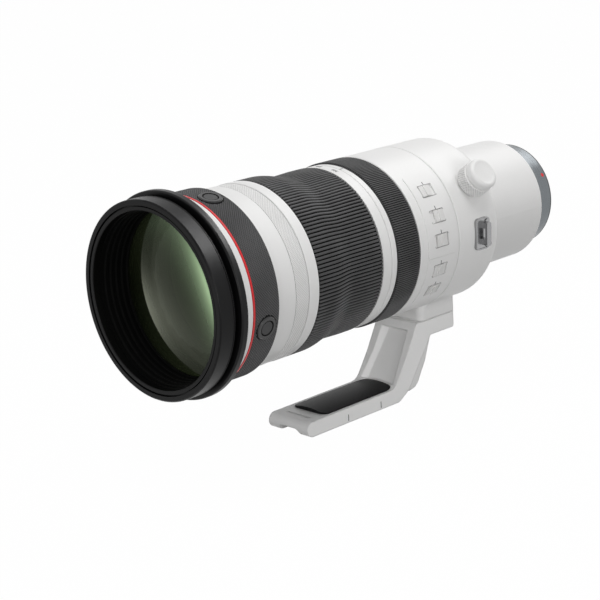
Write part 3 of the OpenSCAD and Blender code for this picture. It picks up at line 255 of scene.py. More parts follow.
def knob_paint(name, low, high, r0, r1):
    """Colour of the lock knob's knurl, with painted shade in its valleys, by the distance from the knob's
    own axis.
    """
    g = Finish(name)
    x, y, z = g.place()
    across = g.minus(g.times(x, math.cos(KNOB_CLOCK)), g.times(z, math.sin(KNOB_CLOCK)))
    along = g.minus(y, (HARDWARE_T - LEN) * MM)
    fine = g.noise(PEEL, 2.0)
    out = g.fit(g.distance(across, along), 0.0, 1.0, r0 * MM, r1 * MM)
    return g.finished(Base_Color=g.color(g.plus(out, g.spread(fine, -0.06, 0.06)), low, high),
                      Roughness=g.spread(fine, 0.38, 0.46),
                      Normal=g.bump(fine, 0.1, 0.04))


def stepped(name, low, high, t0, pitch, share):
    """Matt black of a light trap, whose ribs carry a painted highlight a little lighter than the steps
    between them.
    """
    g = Finish(name)
    t = g.plus(g.times(g.place()["Y"], TO_MM), LEN - t0)
    at = g.math("FRACT", g.math("DIVIDE", t, pitch))
    rib = g.fit(at, 0.0, 1.0, share - 0.03, share + 0.03)
    highlight_patches = g.spread(g.noise(90.0, 4.0), 0.6, 1.0)
    fine = g.noise(PEEL, 2.0)
    return g.finished(Base_Color=g.color(g.times(rib, highlight_patches), low, high),
                      Roughness=g.spread(fine, 0.45, 0.60),
                      Normal=g.bump(fine, 0.2, 0.03),
                      Specular_IOR_Level=0.08)


def metal(name, color, rough=0.3, lines=0.25, inner=None, x0=0.0, x1=0.0):
    """Turned metal: fine rings round the axis and a little wear. With a colour inner, that colour changes
    to the main one from x0 to x1 to either side of the lens."""
    g = Finish(name)
    x, y, z = g.place()
    turn = g.math("ARCTAN2", x, z)
    streaks = g.add("ShaderNodeCombineXYZ", g.times(y, 9000.0), g.times(turn, 0.8)).outputs[0]
    rings = g.noise(1.0, 2.0, 0.6, streaks)
    smear = g.noise(60.0, 4.0)
    if inner is None:
        base = g.mottled(smear, color, 0.9, 1.0, 0.35, 0.65)
    else:
        out = g.fit(g.math("ABSOLUTE", x), 0.0, 1.0, x0 * MM, x1 * MM)
        base = g.color(g.plus(out, g.spread(smear, -0.1, 0.1)), inner, color)
    return g.finished(Base_Color=base,
                      Metallic=1.0,
                      Roughness=g.spread(rings, rough - 0.06, rough + 0.06),
                      Normal=g.bump(rings, lines, 0.02))


def rubber(name, color, rough=0.62, grain=0.4, sheen=0.15, level=0.3):
    """Grained rubber with a mottled tone."""
    g = Finish(name)
    fine = g.noise(RUBBER_GRAIN, 3.0, 0.6)
    return g.finished(Base_Color=g.mottled(g.noise(70.0), color, 0.8, 1.2),
                      Roughness=g.spread(fine, rough - 0.08, rough + 0.08),
                      Normal=g.bump(fine, grain, 0.06),
                      Sheen_Weight=sheen,
                      Sheen_Roughness=0.4,
                      Specular_IOR_Level=level)


# Glass
GLOSS_TINT = (0.86, 0.93, 0.80, 1)
RIM_BLACK = (0.0015, 0.0015, 0.0015)
RIM_BLUR = 0.3


class Glass(Finish):
    """Lens glass, with the calls that draw soft shapes on its face; x and z are in metres."""

    def __init__(self, name):
        super().__init__(name)
        self.x, self.y, self.z = self.place()

    def away(self, x0, z0):
        """Distance in mm from a place on the face."""
        far = self.distance(self.minus(self.x, x0 * MM), self.minus(self.z, z0 * MM))
        return self.times(far, TO_MM)

    def depth(self, x0, z0, radius):
        """Depth in mm inside a circle on the face."""
        return self.minus(radius, self.away(x0, z0))

    def inside(self, depth):
        """1 inside an edge and 0 outside, over 1 mm."""
        return self.fit(depth, 0.0, 1.0, -0.5, 0.5)

    def fade(self, depth, length):
        """Falls from 1 with the depth inside an edge."""
        return self.exp(self.above_zero(depth), -length)

    def hill(self, at, middle, width):
        """Bell curve round the middle."""
        q = self.math("DIVIDE", self.minus(at, middle), width)
        return self.math("EXPONENT", self.times(q, q, -1.0))

    def scaled(self, color, amount):
        node = self.tree.nodes.new("ShaderNodeVectorMath")
        node.operation = "SCALE"
        self.put(node, 0, color)
        self.put(node, "Scale", amount)
        return node.outputs[0]

    def total(self, first, *others):
        for other in others:
            node = self.add("ShaderNodeVectorMath", first, other)
            node.operation = "ADD"
            first = node.outputs[0]
        return first

    def clear(self, color):
        return self.add("ShaderNodeBsdfTransparent", Color=color).outputs[0]

    def glazed(self, body, shine, edge):
        """The material, with a sharp reflection of the share shine and black beyond the radius edge."""
        gloss = self.add("ShaderNodeBsdfGlossy", Roughness=0.0, Color=GLOSS_TINT)
        body = self.mix(shine, body, gloss.outputs[0])
        rim = self.fit(self.away(0.0, 0.0), 0.0, 1.0, edge - RIM_BLUR, edge)
        return self.surface(self.mix(rim, body, self.diffuse(RIM_BLACK)))


def inner_glass(name, tint, shine, edge):
    """Clear glass of the lens groups behind the front one."""
    g = Glass(name)
    return g.glazed(g.clear(g.mottled(g.noise(30.0, 2.0), tint, 0.96, 1.0)), shine, edge)


# The front glass's painted reflections and painted green reflection, as soft shapes in mm: a circle is x, z
# and radius, a hill is the height and width of the brightest part, and a fade is a length. A share is how
# much light a part gives back.
FIRST_REFLECTION = (29.3, 9.5, 61.5)
FIRST_SHARE = 0.235
FIRST_HILL = (-13.0, 20.0)
FIRST_FADE = 13.0
REFLECTION_TINT = (0.95, 1.0, 0.80)
SECOND_REFLECTION = (44.0, 15.0, 64.0)
SECOND_SHARE = 0.016
SECOND_FADE = 9.0
VEIL_SHARE = 0.030
VEIL_TINT = (0.88, 1.0, 0.70)
OLIVE_SHARE = 0.0046
OLIVE_TINT = (0.78, 1.0, 0.48)
OLIVE_START_X = -46.0
OLIVE_PER_RIGHT = 0.00034
OLIVE_PER_UP = 0.00022
GREEN_CIRCLE = (-28.0, -12.0, 55.0)
GREEN_SHARE = 0.41
GREEN_HILL = (8.0, 25.0)
GREEN_FADE = 5.0
GREEN_LIMIT = 1.6
GREEN_TINT = (0.70, 1.0, 0.58)
FRONT_FACE_END_T = 28.0
COATED_IOR = 1.14


def front_glass(name, tint, edge):
    """Front glass with the soft edges of two painted inner reflections and a painted green reflection of its
    coating.
    """
    g = Glass(name)
    x = g.times(g.x, TO_MM)
    z = g.times(g.z, TO_MM)
    first = g.depth(*FIRST_REFLECTION)
    second = g.depth(*SECOND_REFLECTION)
    in_first = g.inside(first)

    # Painted dark olive reflection outside the first reflection, painted a little lighter to the right and
    # the top
    to_right = g.times(g.above_zero(g.minus(x, OLIVE_START_X)), OLIVE_PER_RIGHT)
    to_top = g.times(g.above_zero(z), OLIVE_PER_UP)
    olive = g.plus(g.plus(OLIVE_SHARE, to_right), to_top)
    ring = g.scaled(OLIVE_TINT, g.times(g.minus(1.0, in_first), olive))

    # Both painted reflections are brightest at their edges, and the first one below the middle. A faint
    # painted reflection, a veil, lies over both.
    bright = g.times(g.fade(first, FIRST_FADE), g.times(g.hill(z, *FIRST_HILL), FIRST_SHARE))
    weak = g.times(g.inside(second), g.fade(second, SECOND_FADE), SECOND_SHARE)
    edges = g.scaled(REFLECTION_TINT, g.times(in_first, g.plus(bright, weak)))
    veil = g.scaled(VEIL_TINT, g.times(in_first, VEIL_SHARE))

    # Painted green reflection of the coating, rising towards the right edge
    rise = g.math("MINIMUM", g.exp(g.depth(*GREEN_CIRCLE), -GREEN_FADE), GREEN_LIMIT)
    glow = g.times(rise, g.times(g.hill(z, *GREEN_HILL), GREEN_SHARE))
    green = g.scaled(GREEN_TINT, g.times(glow, in_first))

    # All of the painted reflection lies on the front face alone
    on_front = g.math("LESS_THAN", g.y, (FRONT_FACE_END_T - LEN) * MM)
    body = g.scaled(g.total(ring, edges, veil, green), on_front)
    body = g.add("ShaderNodeAddShader", g.clear((*tint, 1)), g.diffuse(body)).outputs[0]
    shine = g.times(g.add("ShaderNodeFresnel", IOR=COATED_IOR).outputs[0], on_front)
    return g.glazed(body, shine, edge)


# Materials
WHITE = (0.80, 0.797, 0.79)
FINISHES = {
    "white": paint("white_paint", WHITE, rough=0.40, grain=0.12),
    "white_soft": paint("white_casting", WHITE, rough=0.40, grain=0.12, soft=1.4),
    # Painted light: the foot's white is a brighter copy of the white paint, lifting it out of the barrel's
    # shade
    "white_foot_painted_light": paint("foot_paint", (0.90, 0.897, 0.89), rough=0.40, grain=0.12, soft=1.4),
    "white_matt": paint("slider_white", (0.74, 0.735, 0.725), rough=0.5),
    "knob": paint("knob_paint", WHITE, grain=0.12),
    # Painted shade in the lock knob knurl's grey valleys
    "knob_side": knob_paint("knob_knurl_paint", (0.36, 0.36, 0.355), WHITE, r0=10.42, r1=10.76),
    # Painted shade in the control ring knurl's grey valleys
    "fine_knurl": ringed("fine_knurl", (0.42, 0.42, 0.415), WHITE, r0=53.58, r1=53.78, rough=0.42,
                         wear=0.05),
    "anodised": paint("black_anodised", (0.003, 0.003, 0.0033), rough=0.36, grain=0.08, dirt=0.1,
                      level=0.16),
    "lip": ringed("front_lip", (0.002, 0.002, 0.0021), (0.003, 0.003, 0.0033), r0=54.1, r1=54.6,
                  rough=0.34, grain=0.08, level=0.13, wear=0.02),
    # Painted shade in the button ring knurl's black valleys and painted highlights on its grey tops
    "knurl": ringed("ring_knurl", (0.008, 0.008, 0.008), (0.115, 0.115, 0.117), r0=56.02, r1=56.4,
                    rough=0.5, level=0.15),
    "bezel": paint("bezel_grey", (0.030, 0.030, 0.031), rough=0.26, grain=0.08, dirt=0.1, level=0.4),
    "button": rubber("button_rubber", (0.030, 0.030, 0.031), rough=0.5, grain=0.2),
    "red": paint("red_line", (0.70, 0.010, 0.016), rough=0.35, grain=0.05, dirt=0.05),
    "grip": rubber("grip_rubber", (0.072, 0.072, 0.073), rough=0.5, grain=0.3, sheen=0.1, level=0.2),
    "grip_fine": rubber("grip_fine", (0.066, 0.066, 0.067), rough=0.5, grain=0.3, sheen=0.1, level=0.2),
    # Painted shade: the valleys between the rubber ribs are darker than the tops
    "valley": rubber("grip_valley", (0.004, 0.004, 0.004), rough=0.7, grain=0.3, sheen=0.0, level=0.05),
    "pad": rubber("pad_rubber", (0.006, 0.006, 0.0063), rough=0.46, grain=0.5, sheen=0.0, level=0.10),
    "inner": paint("inner_black", (0.010, 0.010, 0.010), rough=0.55, dirt=0.1, level=0.2),
    # Painted highlights on the baffle's ribs
    "baffle": stepped("baffle_black", (0.0016, 0.0016, 0.0016), (0.008, 0.008, 0.008), t0=5.55, pitch=3.99,
                      share=0.66),
    "inner_metal": metal("inner_metal", (0.45, 0.45, 0.46), rough=0.35),
    "steel": metal("dark_steel", (0.42, 0.425, 0.43), rough=0.22, lines=0.15),
    # Painted shade: the lug steel is a little darker outwards of 54.6 mm, on the bar's outward face, than on
    # its plate
    "lug": metal("lug_steel", (0.33, 0.33, 0.335), rough=0.22, lines=0.10, inner=(0.36, 0.36, 0.365),
                 x0=53.2, x1=54.6),
    "rim": metal("lug_rim_steel", (0.36, 0.36, 0.365), rough=0.22, lines=0.1),
    "mount": metal("mount_metal", (0.185, 0.200, 0.212), rough=0.26, lines=0.12),
    "brass": metal("brass", (0.75, 0.55, 0.22)),
    "board": paint("board_green", (0.01, 0.07, 0.03), rough=0.4, grain=0.2, dirt=0.3),
    "contact_plastic": paint("contact_black", (0.012, 0.012, 0.013), rough=0.45, dirt=0.1),
    "ink": paint("print_grey", (0.05, 0.05, 0.052), rough=0.6, dirt=0.2, level=0.2),
    "outline": paint("outline_grey", (0.26, 0.26, 0.26), rough=0.6, dirt=0.1, level=0.3),
    "glass": front_glass("coated_front_glass", (0.40, 0.46, 0.35), edge=50.2),
    "glass_deep": inner_glass("coated_glass_deep", (0.55, 0.62, 0.48), shine=0.008, edge=60.0),
}

NODES_WITH = {
    "anodised": ["hood_flange", "focus_sleeve"],
    "lip": ["filter_ring"],
    "baffle": ["front_baffle", "rear_baffle", "front_cell"],
    "glass": ["front_element"],
    "glass_deep": ["front_doublet", "variator_lens", "stabiliser_lens", "focus_lens", "rear_lens"],
    "white": ["trim_ring", "front_barrel", "control_ring", "main_tube", "zoom_sleeve", "index_ring",
              "switch_barrel", "switch_panels", "rear_barrel"],
    "white_soft": ["tripod_collar"],
    "white_foot_painted_light": ["foot"],
    "knob": ["lock_knob"],
    "white_matt": ["switch_slider_%d" % k for k in range(1, 6)],
    "red": ["red_ring", "mount_index"],
    "knurl": ["button_ring"],
    "bezel": ["button_bezels"],
    "button": ["function_button_%d" % k for k in range(1, 5)],
    "grip": ["zoom_grip", "focus_grip", "mount_gasket"],
    "pad": ["foot_pad"],
    "inner": ["variator_cell", "iris_unit", "stabiliser_frame", "stabiliser_cell", "focus_cell"],
    "inner_metal": ["cam_tube", "stabiliser_housing", "focus_rods", "focus_motors"],
    "steel": ["foot_screws", "tripod_bushes", "mount_screws"],
    "lug": ["strap_lugs"],
    "mount": ["mount_ring"],
    "brass": ["contact_pins", "brake_shoe"],
    "board": ["circuit_boards"],
    "contact_plastic": ["contact_block"],
}
for finish, names in NODES_WITH.items():
    for name in names:
        slots = nodes[name].data.materials
        slots.clear()
        slots.append(FINISHES[finish])


# Meshes
def mesh_object(name, verts, faces, materials, body):
    """A piece of the visual model, riding on a body."""
    mesh = bpy.data.meshes.new(name)
    mesh.from_pydata(verts, [], faces)
    mesh.update()
    for material in materials:
        mesh.materials.append(material)
    piece = bpy.data.objects.new(name, mesh)
    bpy.context.scene.collection.objects.link(piece)
    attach(piece, body)
    return piece


def add_bore(verts, faces, angles, rows, ends, radius):
    """Close a ring's outer skin of so many rows with a plain bore and two end faces."""
    cols = len(angles)
    base = len(verts)
    last = (rows - 1) * cols
    for t in ends:
        verts += [spot(t, radius, a) for a in angles]
    for i in range(cols):
        k = (i + 1) % cols
        faces.append((i, k, base + k, base + i))
        faces.append((last + k, last + i, base + cols + i, base + cols + k))
        faces.append((base + i, base + k, base + cols + k, base + cols + i))


# A rib has six points round the ring. Its broken edges are this share of the pitch wide, the points' heights
# are shares of the depth, and from the fourth point on the faces are in the valley.
RIB_EDGE = 0.12
RIB_LEVEL = [0.0, 1.0, 1.0, 0.0, 0.0, 0.0]
RIB_VALLEY = 3
# Within a rubber's rounded end, the skin is still this share of the rounding down at this part of its length
END_PART = 0.4
END_DROP = 0.35


def ribbed(name, ends, profile, bore, ribs, depth, share, edge, rows, materials, body):
    """Rubber ring with straight ribs along the axis, each with broken edges and a share of the pitch wide.
    Its skin follows the profile, and its ends are rounded over the length edge."""
    t0, t1 = ends
    phase = [0.0, RIB_EDGE, share, share + RIB_EDGE, (1 + share + RIB_EDGE) / 2, 0.995]
    per = len(phase)
    cols = ribs * per
    step = (t1 - t0 - 2 * edge) / rows
    stations = [t0, t0 + edge * END_PART, t0 + edge]
    stations += [t0 + edge + step * j for j in range(1, rows)]
    stations += [t1 - edge, t1 - edge * END_PART, t1]
    drop = [edge, edge * END_DROP, 0.0] + [0.0] * (rows - 1) + [0.0, edge * END_DROP, edge]
    angles = [TAU * (rib + part) / ribs for rib in range(ribs) for part in phase]
    verts, faces = [], []
    for t, down in zip(stations, drop):
        for i, a in enumerate(angles):
            r = profile(t) - down - depth * (1 - RIB_LEVEL[i % per])
            verts.append(spot(t, max(r, bore + 0.2), a))
    for j in range(len(stations) - 1):
        for i in range(cols):
            k = (i + 1) % cols
            faces.append((j * cols + i, (j + 1) * cols + i, (j + 1) * cols + k, j * cols + k))
    skin = len(faces)
    add_bore(verts, faces, angles, len(stations), ends, bore)
    piece = mesh_object(name, verts, faces, materials, body)
    for face in piece.data.polygons[:skin]:
        # Valley faces take the darker second material, which is painted shade
        face.material_index = 1 if face.index % cols % per >= RIB_VALLEY else 0
    return piece


# The zoom rubber is wide in front, narrows to a waist and rises a little towards its end
GRIP_ENDS = span("zoom_grip")
GRIP_R = reach("zoom_grip")
SEAT_START = GRIP_ENDS[0] - 0.3
SEAT_LENGTH = GRIP_ENDS[1] + 0.3 - SEAT_START
NARROWS_T = SEAT_START + SEAT_LENGTH * 0.235
WAIST_T = SEAT_START + SEAT_LENGTH * 0.552
RISEN_T = GRIP_ENDS[1] - (GRIP_ENDS[1] - WAIST_T) * 0.4
WAIST_R = GRIP_R - 3.0
END_R = WAIST_R + 0.6


def zoom_profile(t):
    """Radius of the zoom rubber at a station."""
    if t <= NARROWS_T:
        return GRIP_R
    if t <= WAIST_T:
        part = (t - NARROWS_T) / (WAIST_T - NARROWS_T)
        return GRIP_R - (GRIP_R - WAIST_R) * part * part * (3 - 2 * part)
    if t <= RISEN_T:
        return WAIST_R + (END_R - WAIST_R) * (t - WAIST_T) / (RISEN_T - WAIST_T)
    return END_R


FOCUS_R = reach("focus_grip")


def focus_profile(t):
    """The focus rubber is as wide at every station."""
    return FOCUS_R


zoom_rubber = ribbed("zoom_rubber", GRIP_ENDS, zoom_profile, bore=50.2, ribs=146, depth=0.55, share=0.54,
                     edge=0.8, rows=34, materials=[FINISHES["grip"], FINISHES["valley"]],
                     body="zoom_ring")
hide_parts("zoom_grip")
focus_rubber = ribbed("focus_rubber", span("focus_grip"), focus_profile, bore=50.65, ribs=232, depth=0.38,
                      share=0.52, edge=0.5, rows=4,
                      materials=[FINISHES["grip_fine"], FINISHES["valley"]],
                      body="focus_ring")
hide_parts("focus_grip")


def knurled(name, ends, r, bore, count, rows, depth, edge, material, body, holes=(), hole_r=0.0):
    """Ring of small pyramids between two smooth edges, sunk round the clock angles in holes."""
    t0, t1 = ends
    cols = count * 2
    step = (t1 - t0 - 2 * edge) / rows
    stations = [t0, t0 + edge * END_PART]
    stations += [t0 + edge + step * j for j in range(rows + 1)]
    stations += [t1 - edge * END_PART, t1]
    last = len(stations) - 1
    angles = [TAU * i / cols for i in range(cols)]
    verts, faces = [], []
    for j, t in enumerate(stations):
        for i, a in enumerate(angles):
            if j in (0, last):
                down = edge * 0.8
            elif j in (1, last - 1):
                down = edge * 0.25
            else:
                down = 0.0 if (i + j) % 2 == 0 else depth
            for hole in holes:
                round_way = ((a - hole + math.pi) % TAU - math.pi) * r
                if math.hypot(t - (t0 + t1) / 2, round_way) < hole_r:
                    down = depth + 0.3
            verts.append(spot(t, r - down, a))
    for j in range(last):
        for i in range(cols):
            k = (i + 1) % cols
            a0, a1, b0, b1 = j * cols + i, j * cols + k, (j + 1) * cols + i, (j + 1) * cols + k
            if (i + j) % 2 == 0:
                faces += [(a0, b0, b1), (a0, b1, a1)]
            else:
                faces += [(a0, b0, a1), (a1, b0, b1)]
    add_bore(verts, faces, angles, len(stations), ends, bore)
    return mesh_object(name, verts, faces, [material], body)


BUTTON_CLOCKS = [math.radians(15.5 + 90 * k) for k in range(4)]
knurl = knurled("button_ring_knurl", span("button_ring"), reach("button_ring"), bore=54.05, count=216,
                rows=22, depth=0.42, edge=0.6, material=FINISHES["knurl"], body="barrel",
                holes=BUTTON_CLOCKS, hole_r=7.3)
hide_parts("button_ring")
control = knurled("control_ring_knurl", span("control_ring"), reach("control_ring"), bore=51.5, count=220,
                  rows=14, depth=0.22, edge=0.4, material=FINISHES["fine_knurl"],
                  body="control_ring")
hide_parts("control_ring")


# Lock knob: heights are from the lens's axis and radii from the knob's own, from the screw's foot upwards
KNOB_SIDE_R = 10.8
KNOB_CAP_R = 10.2
KNOB_CAP_ROUND = 2.2
KNOB_TOP = 68.1
KNOB_KNURL_FOOT = 54.5
KNOB_KNURL_LENGTH = 7.1
KNOB_KNURL_ROWS = 9
KNOB_KNURL_PEAKS = 46
KNOB_KNURL_DEPTH = 0.42
KNOB_SCREW_FOOT = 50.25
KNOB_SCREW_R = 2.9
KNOB_HUB = 0.02


def knob_rows():
    """Height, radius and kind of each row: 0 is plain, and 1 and 2 take turns in the knurl."""
    foot = KNOB_KNURL_FOOT - 0.4
    rows = [(KNOB_SCREW_FOOT, KNOB_HUB, 0), (KNOB_SCREW_FOOT, KNOB_SCREW_R, 0), (foot, KNOB_SCREW_R, 0),
            (foot, 10.1, 0), (foot + 0.25, 10.35, 0)]
    rows += [(KNOB_KNURL_FOOT + KNOB_KNURL_LENGTH * j / (KNOB_KNURL_ROWS - 1), KNOB_SIDE_R, 1 + j % 2)
             for j in range(KNOB_KNURL_ROWS)]
    # Groove between the knurl and the cap
    rows += [(61.75, 10.4, 0), (61.94, 10.1, 0), (61.94, 9.5, 0), (62.74, 9.5, 0), (62.74, 9.95, 0)]
    # Cap with a rounded edge and a shallow dish in its top
    shoulder = KNOB_TOP - KNOB_CAP_ROUND
    rows += [(62.95, KNOB_CAP_R, 0), (shoulder, KNOB_CAP_R, 0)]
    rows += [(shoulder + KNOB_CAP_ROUND * math.sin(math.radians(b)),
              KNOB_CAP_R - KNOB_CAP_ROUND + KNOB_CAP_ROUND * math.cos(math.radians(b)), 0)
             for b in (18, 36, 54, 72, 86)]
    rows += [(KNOB_TOP, 7.9, 0), (KNOB_TOP, 7.5, 0), (67.98, 7.1, 0), (67.9, 6.6, 0), (67.88, 3.0, 0),
             (67.88, KNOB_HUB, 0)]
    return rows


def lock_knob_mesh():
    """Knob on its screw, with a knurled side, a groove and a soft cap."""
    out = Vector((math.sin(KNOB_CLOCK), 0.0, math.cos(KNOB_CLOCK)))
    side = Vector((math.cos(KNOB_CLOCK), 0.0, -math.sin(KNOB_CLOCK)))
    foot = Vector((0.0, (HARDWARE_T - LEN) * MM, 0.0))
    rows = knob_rows()
    cols = KNOB_KNURL_PEAKS * 2
    verts, faces = [], []
    for h, r, kind in rows:
        for i in range(cols):
            b = TAU * i / cols
            radius = r - (KNOB_KNURL_DEPTH if kind and (i + kind) % 2 else 0.0)
            around = side * (radius * math.cos(b)) + Vector((0, radius * math.sin(b), 0))
            verts.append(foot + (out * h + around) * MM)
    for j in range(len(rows) - 1):
        in_knurl = rows[j][2] and rows[j + 1][2]
        for i in range(cols):
            k = (i + 1) % cols
            a0, a1, b0, b1 = j * cols + i, j * cols + k, (j + 1) * cols + i, (j + 1) * cols + k
            if not in_knurl:
                faces.append((a0, a1, b1, b0))
            elif (i + rows[j][2]) % 2:
                faces += [(a0, a1, b0), (a1, b1, b0)]
            else:
                faces += [(a0, a1, b1), (a0, b1, b0)]
    faces.append(tuple(range(cols - 1, -1, -1)))
    faces.append(tuple((len(rows) - 1) * cols + i for i in range(cols)))
    knob = mesh_object("lock_knob_knurl", verts, faces, [FINISHES["knob"], FINISHES["knob_side"]],
                       "lock_knob")
    knurl_end = KNOB_KNURL_FOOT + KNOB_KNURL_LENGTH
    for face in knob.data.polygons:
        heights = [(knob.data.vertices[v].co - foot).dot(out) / MM for v in face.vertices]
        face.use_smooth = min(heights) > knurl_end - 0.01 or max(heights) < KNOB_KNURL_FOOT + 0.01
        face.material_index = 0 if face.use_smooth else 1
    knob.data.set_sharp_from_angle(angle=math.radians(40))
    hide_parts("lock_knob")


lock_knob_mesh()


# Thin shapes laid on a surface: u runs across, v along the axis and h out of the surface, in mm
def rounded(width, length, r, steps=5):
    """Rectangle with round corners."""
    points = []
    for u_way, v_way, start in ((1, 1, 0), (-1, 1, 90), (-1, -1, 180), (1, -1, 270)):
        for k in range(steps + 1):
            b = math.radians(start + 90 * k / steps)
            points.append((u_way * (width / 2 - r) + r * math.cos(b),
                           v_way * (length / 2 - r) + r * math.sin(b)))
    return points


def oblong(width, length):
    """Plain rectangle round the middle."""
    w = width / 2
    v = length / 2
    return [(-w, -v), (w, -v), (w, v), (-w, v)]


def wrapped(t, a, r):
    """Places on the round barrel, about a station and a clock angle in degrees."""
    return lambda u, v, h: spot(t + v, r + h, math.radians(a) + u / r)


def frame_ring(place, outer, inner, low, high):
    """Flat frame between two outlines, from the height low to high."""
    n = len(outer)
    levels = ((outer, high), (inner, high), (outer, low), (inner, low))
    verts = [place(u, v, h) for loop, h in levels for u, v in loop]
    faces = []
    for i in range(n):
        k = (i + 1) % n
        faces.append((i, k, n + k, n + i))
        faces.append((2 * n + i, 3 * n + i, 3 * n + k, 2 * n + k))
        faces.append((i, 2 * n + i, 2 * n + k, k))
        faces.append((n + i, n + k, 3 * n + k, 3 * n + i))
    return verts, faces


def slab(place, loop, low, high):
    """Flat plate inside an outline, from the height low to high."""
    n = len(loop)
    verts = [place(u, v, h) for h in (high, low) for u, v in loop]
    faces = [tuple(range(n)), tuple(range(2 * n - 1, n - 1, -1))]
    faces += [(i, n + i, n + (i + 1) % n, (i + 1) % n) for i in range(n)]
    return verts, faces


def joined(name, parts, material, body):
    """One piece of several shapes."""
    verts, faces = [], []
    for part_verts, part_faces in parts:
        faces += [tuple(i + len(verts) for i in face) for face in part_faces]
        verts += part_verts
    return mesh_object(name, verts, faces, [material], body)


# Ink and outlines start a little inside the surface and stand a little out of it
SUNK = -0.05
PROUD = 0.03

# Windows of the five slide switches, with an ink mark at the side of each
WINDOW_T = 189.15
UPPER_CLOCKS = [52.1, 70.5, 86.9]
LOWER_CLOCKS = [108.1, 124.7]
UPPER_PANEL_R = 53.0
LOWER_PANEL_R = 52.8
windows = [wrapped(WINDOW_T, a, UPPER_PANEL_R) for a in UPPER_CLOCKS]
windows += [wrapped(WINDOW_T, a, LOWER_PANEL_R) for a in LOWER_CLOCKS]
window_outside = rounded(8.5, 12.7, 0.8)
window_inside = rounded(7.9, 12.1, 0.3)
window_mark = [(-6.4, -0.25), (-4.3, -0.25), (-4.3, 0.25), (-6.4, 0.25)]
joined("window_outlines",
       [frame_ring(place, window_outside, window_inside, SUNK, PROUD) for place in windows],
       FINISHES["outline"], "barrel")
joined("window_marks",
       [slab(place, window_mark, SUNK, PROUD) for place in windows],
       FINISHES["ink"], "barrel")

# Zoom scale: the first number is under the index at rest, and the others follow round the skirt
SCALE_TEXTS = ["300", "250", "200", "150", "135", "100"]
SCALE_T = 141.6
SCALE_R = 51.52
SCALE_SIZE = 3.1
SCALE_STEP = 15.0
INDEX_T = 147.0
INDEX_CLOCK = 12.0


def scale_number(text, clock):
    """A number in ink, bent round the skirt and read from behind the front of the lens."""
    name = "scale_" + text
    curve = bpy.data.curves.new(name, "FONT")
    curve.body = text
    curve.size = SCALE_SIZE
    curve.align_x = "CENTER"
    curve.align_y = "CENTER"
    curve.extrude = PROUD
    flat = bpy.data.objects.new(name + "_text", curve)
    bpy.context.scene.collection.objects.link(flat)
    bpy.context.view_layer.update()
    mesh = bpy.data.meshes.new_from_object(flat.evaluated_get(bpy.context.evaluated_depsgraph_get()))
    bpy.data.objects.remove(flat)
    for vertex in mesh.vertices:
        u, v, h = vertex.co
        vertex.co = spot(SCALE_T - v, SCALE_R + h, math.radians(clock) - u / SCALE_R)
    mesh.materials.clear()
    mesh.materials.append(FINISHES["ink"])
    number = bpy.data.objects.new(name, mesh)
    bpy.context.scene.collection.objects.link(number)
    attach(number, "zoom_ring")


for k, text in enumerate(SCALE_TEXTS):
    scale_number(text, INDEX_CLOCK - SCALE_STEP * k)
index_place = wrapped(INDEX_T, INDEX_CLOCK, reach("index_ring"))
joined("zoom_index", [slab(index_place, oblong(0.6, 2.8), SUNK, PROUD)], FINISHES["ink"], "barrel")

# Index marks in the grooves on both sides of the foot, over its two tripod threads
FOOT_GROOVE_X = 16.7
FOOT_MARK_Z = -105.0
FOOT_MARK_PROUD = 0.12
thread_ys = [m["pos_m"][1] for m in frame["record"]["mounts"] if m["name"].startswith("tripod_")]


def foot_place(side, y):
    """Places on a side of the foot: u is up, and side is 1 or -1."""
    return lambda u, v, h: Vector((side * (FOOT_GROOVE_X + h) * MM, y + v * MM, (FOOT_MARK_Z + u) * MM))


joined("foot_marks",
       [slab(foot_place(side, y), oblong(4.2, 0.68), SUNK, FOOT_MARK_PROUD)
        for side in (-1, 1) for y in thread_ys],
       FINISHES["ink"], "mount_foot")

# Bright raised rims round the strap lugs' plates
LUG_CLOCK = math.radians(91.2)
LUG_PLATE_TOP = 53.25
LUG_RIM_FOOT = LUG_PLATE_TOP - 0.1
LUG_RIM_TOP = LUG_PLATE_TOP + 0.55


def lug_place(side):
    """Places on a lug's plate: u is up along the plate, and side is 1 or -1."""
    a = LUG_CLOCK * side
    out = Vector((math.sin(a), 0.0, math.cos(a)))
    up = Vector((-math.cos(a) * side, 0.0, math.sin(a) * side))
    base = Vector((0.0, (HARDWARE_T - LEN) * MM, 0.0))
    return lambda u, v, h: base + (out * h + up * u + Vector((0, v, 0))) * MM


lug_outside = rounded(20.4, 13.0, 3.0)
lug_inside = rounded(18.6, 11.2, 2.2)
joined("lug_rims",
       [frame_ring(lug_place(side), lug_outside, lug_inside, LUG_RIM_FOOT, LUG_RIM_TOP) for side in (-1, 1)],
       FINISHES["rim"], "mount_foot")


# Stage: a pale floor just under the foot and a world, in metres. The camera, gloss and glass see both as
# white, where the light on the object comes from the floor's own shade and the world's fill.
FLOOR_HALF = 30.0
FLOOR_Z = -0.1083
FLOOR_SHADE = 0.26
FLOOR_WHITE = 1.02
FLOOR_SHARE = 0.97
WORLD_FILL = 0.29


def seen(g):
    """1 for what the camera, gloss and glass see, and 0 for the light on the object."""
    path = g.add("ShaderNodeLightPath").outputs
    indirect = g.math("MAXIMUM", path["Is Glossy Ray"], path["Is Transmission Ray"])
    return g.math("MAXIMUM", path["Is Camera Ray"], indirect)


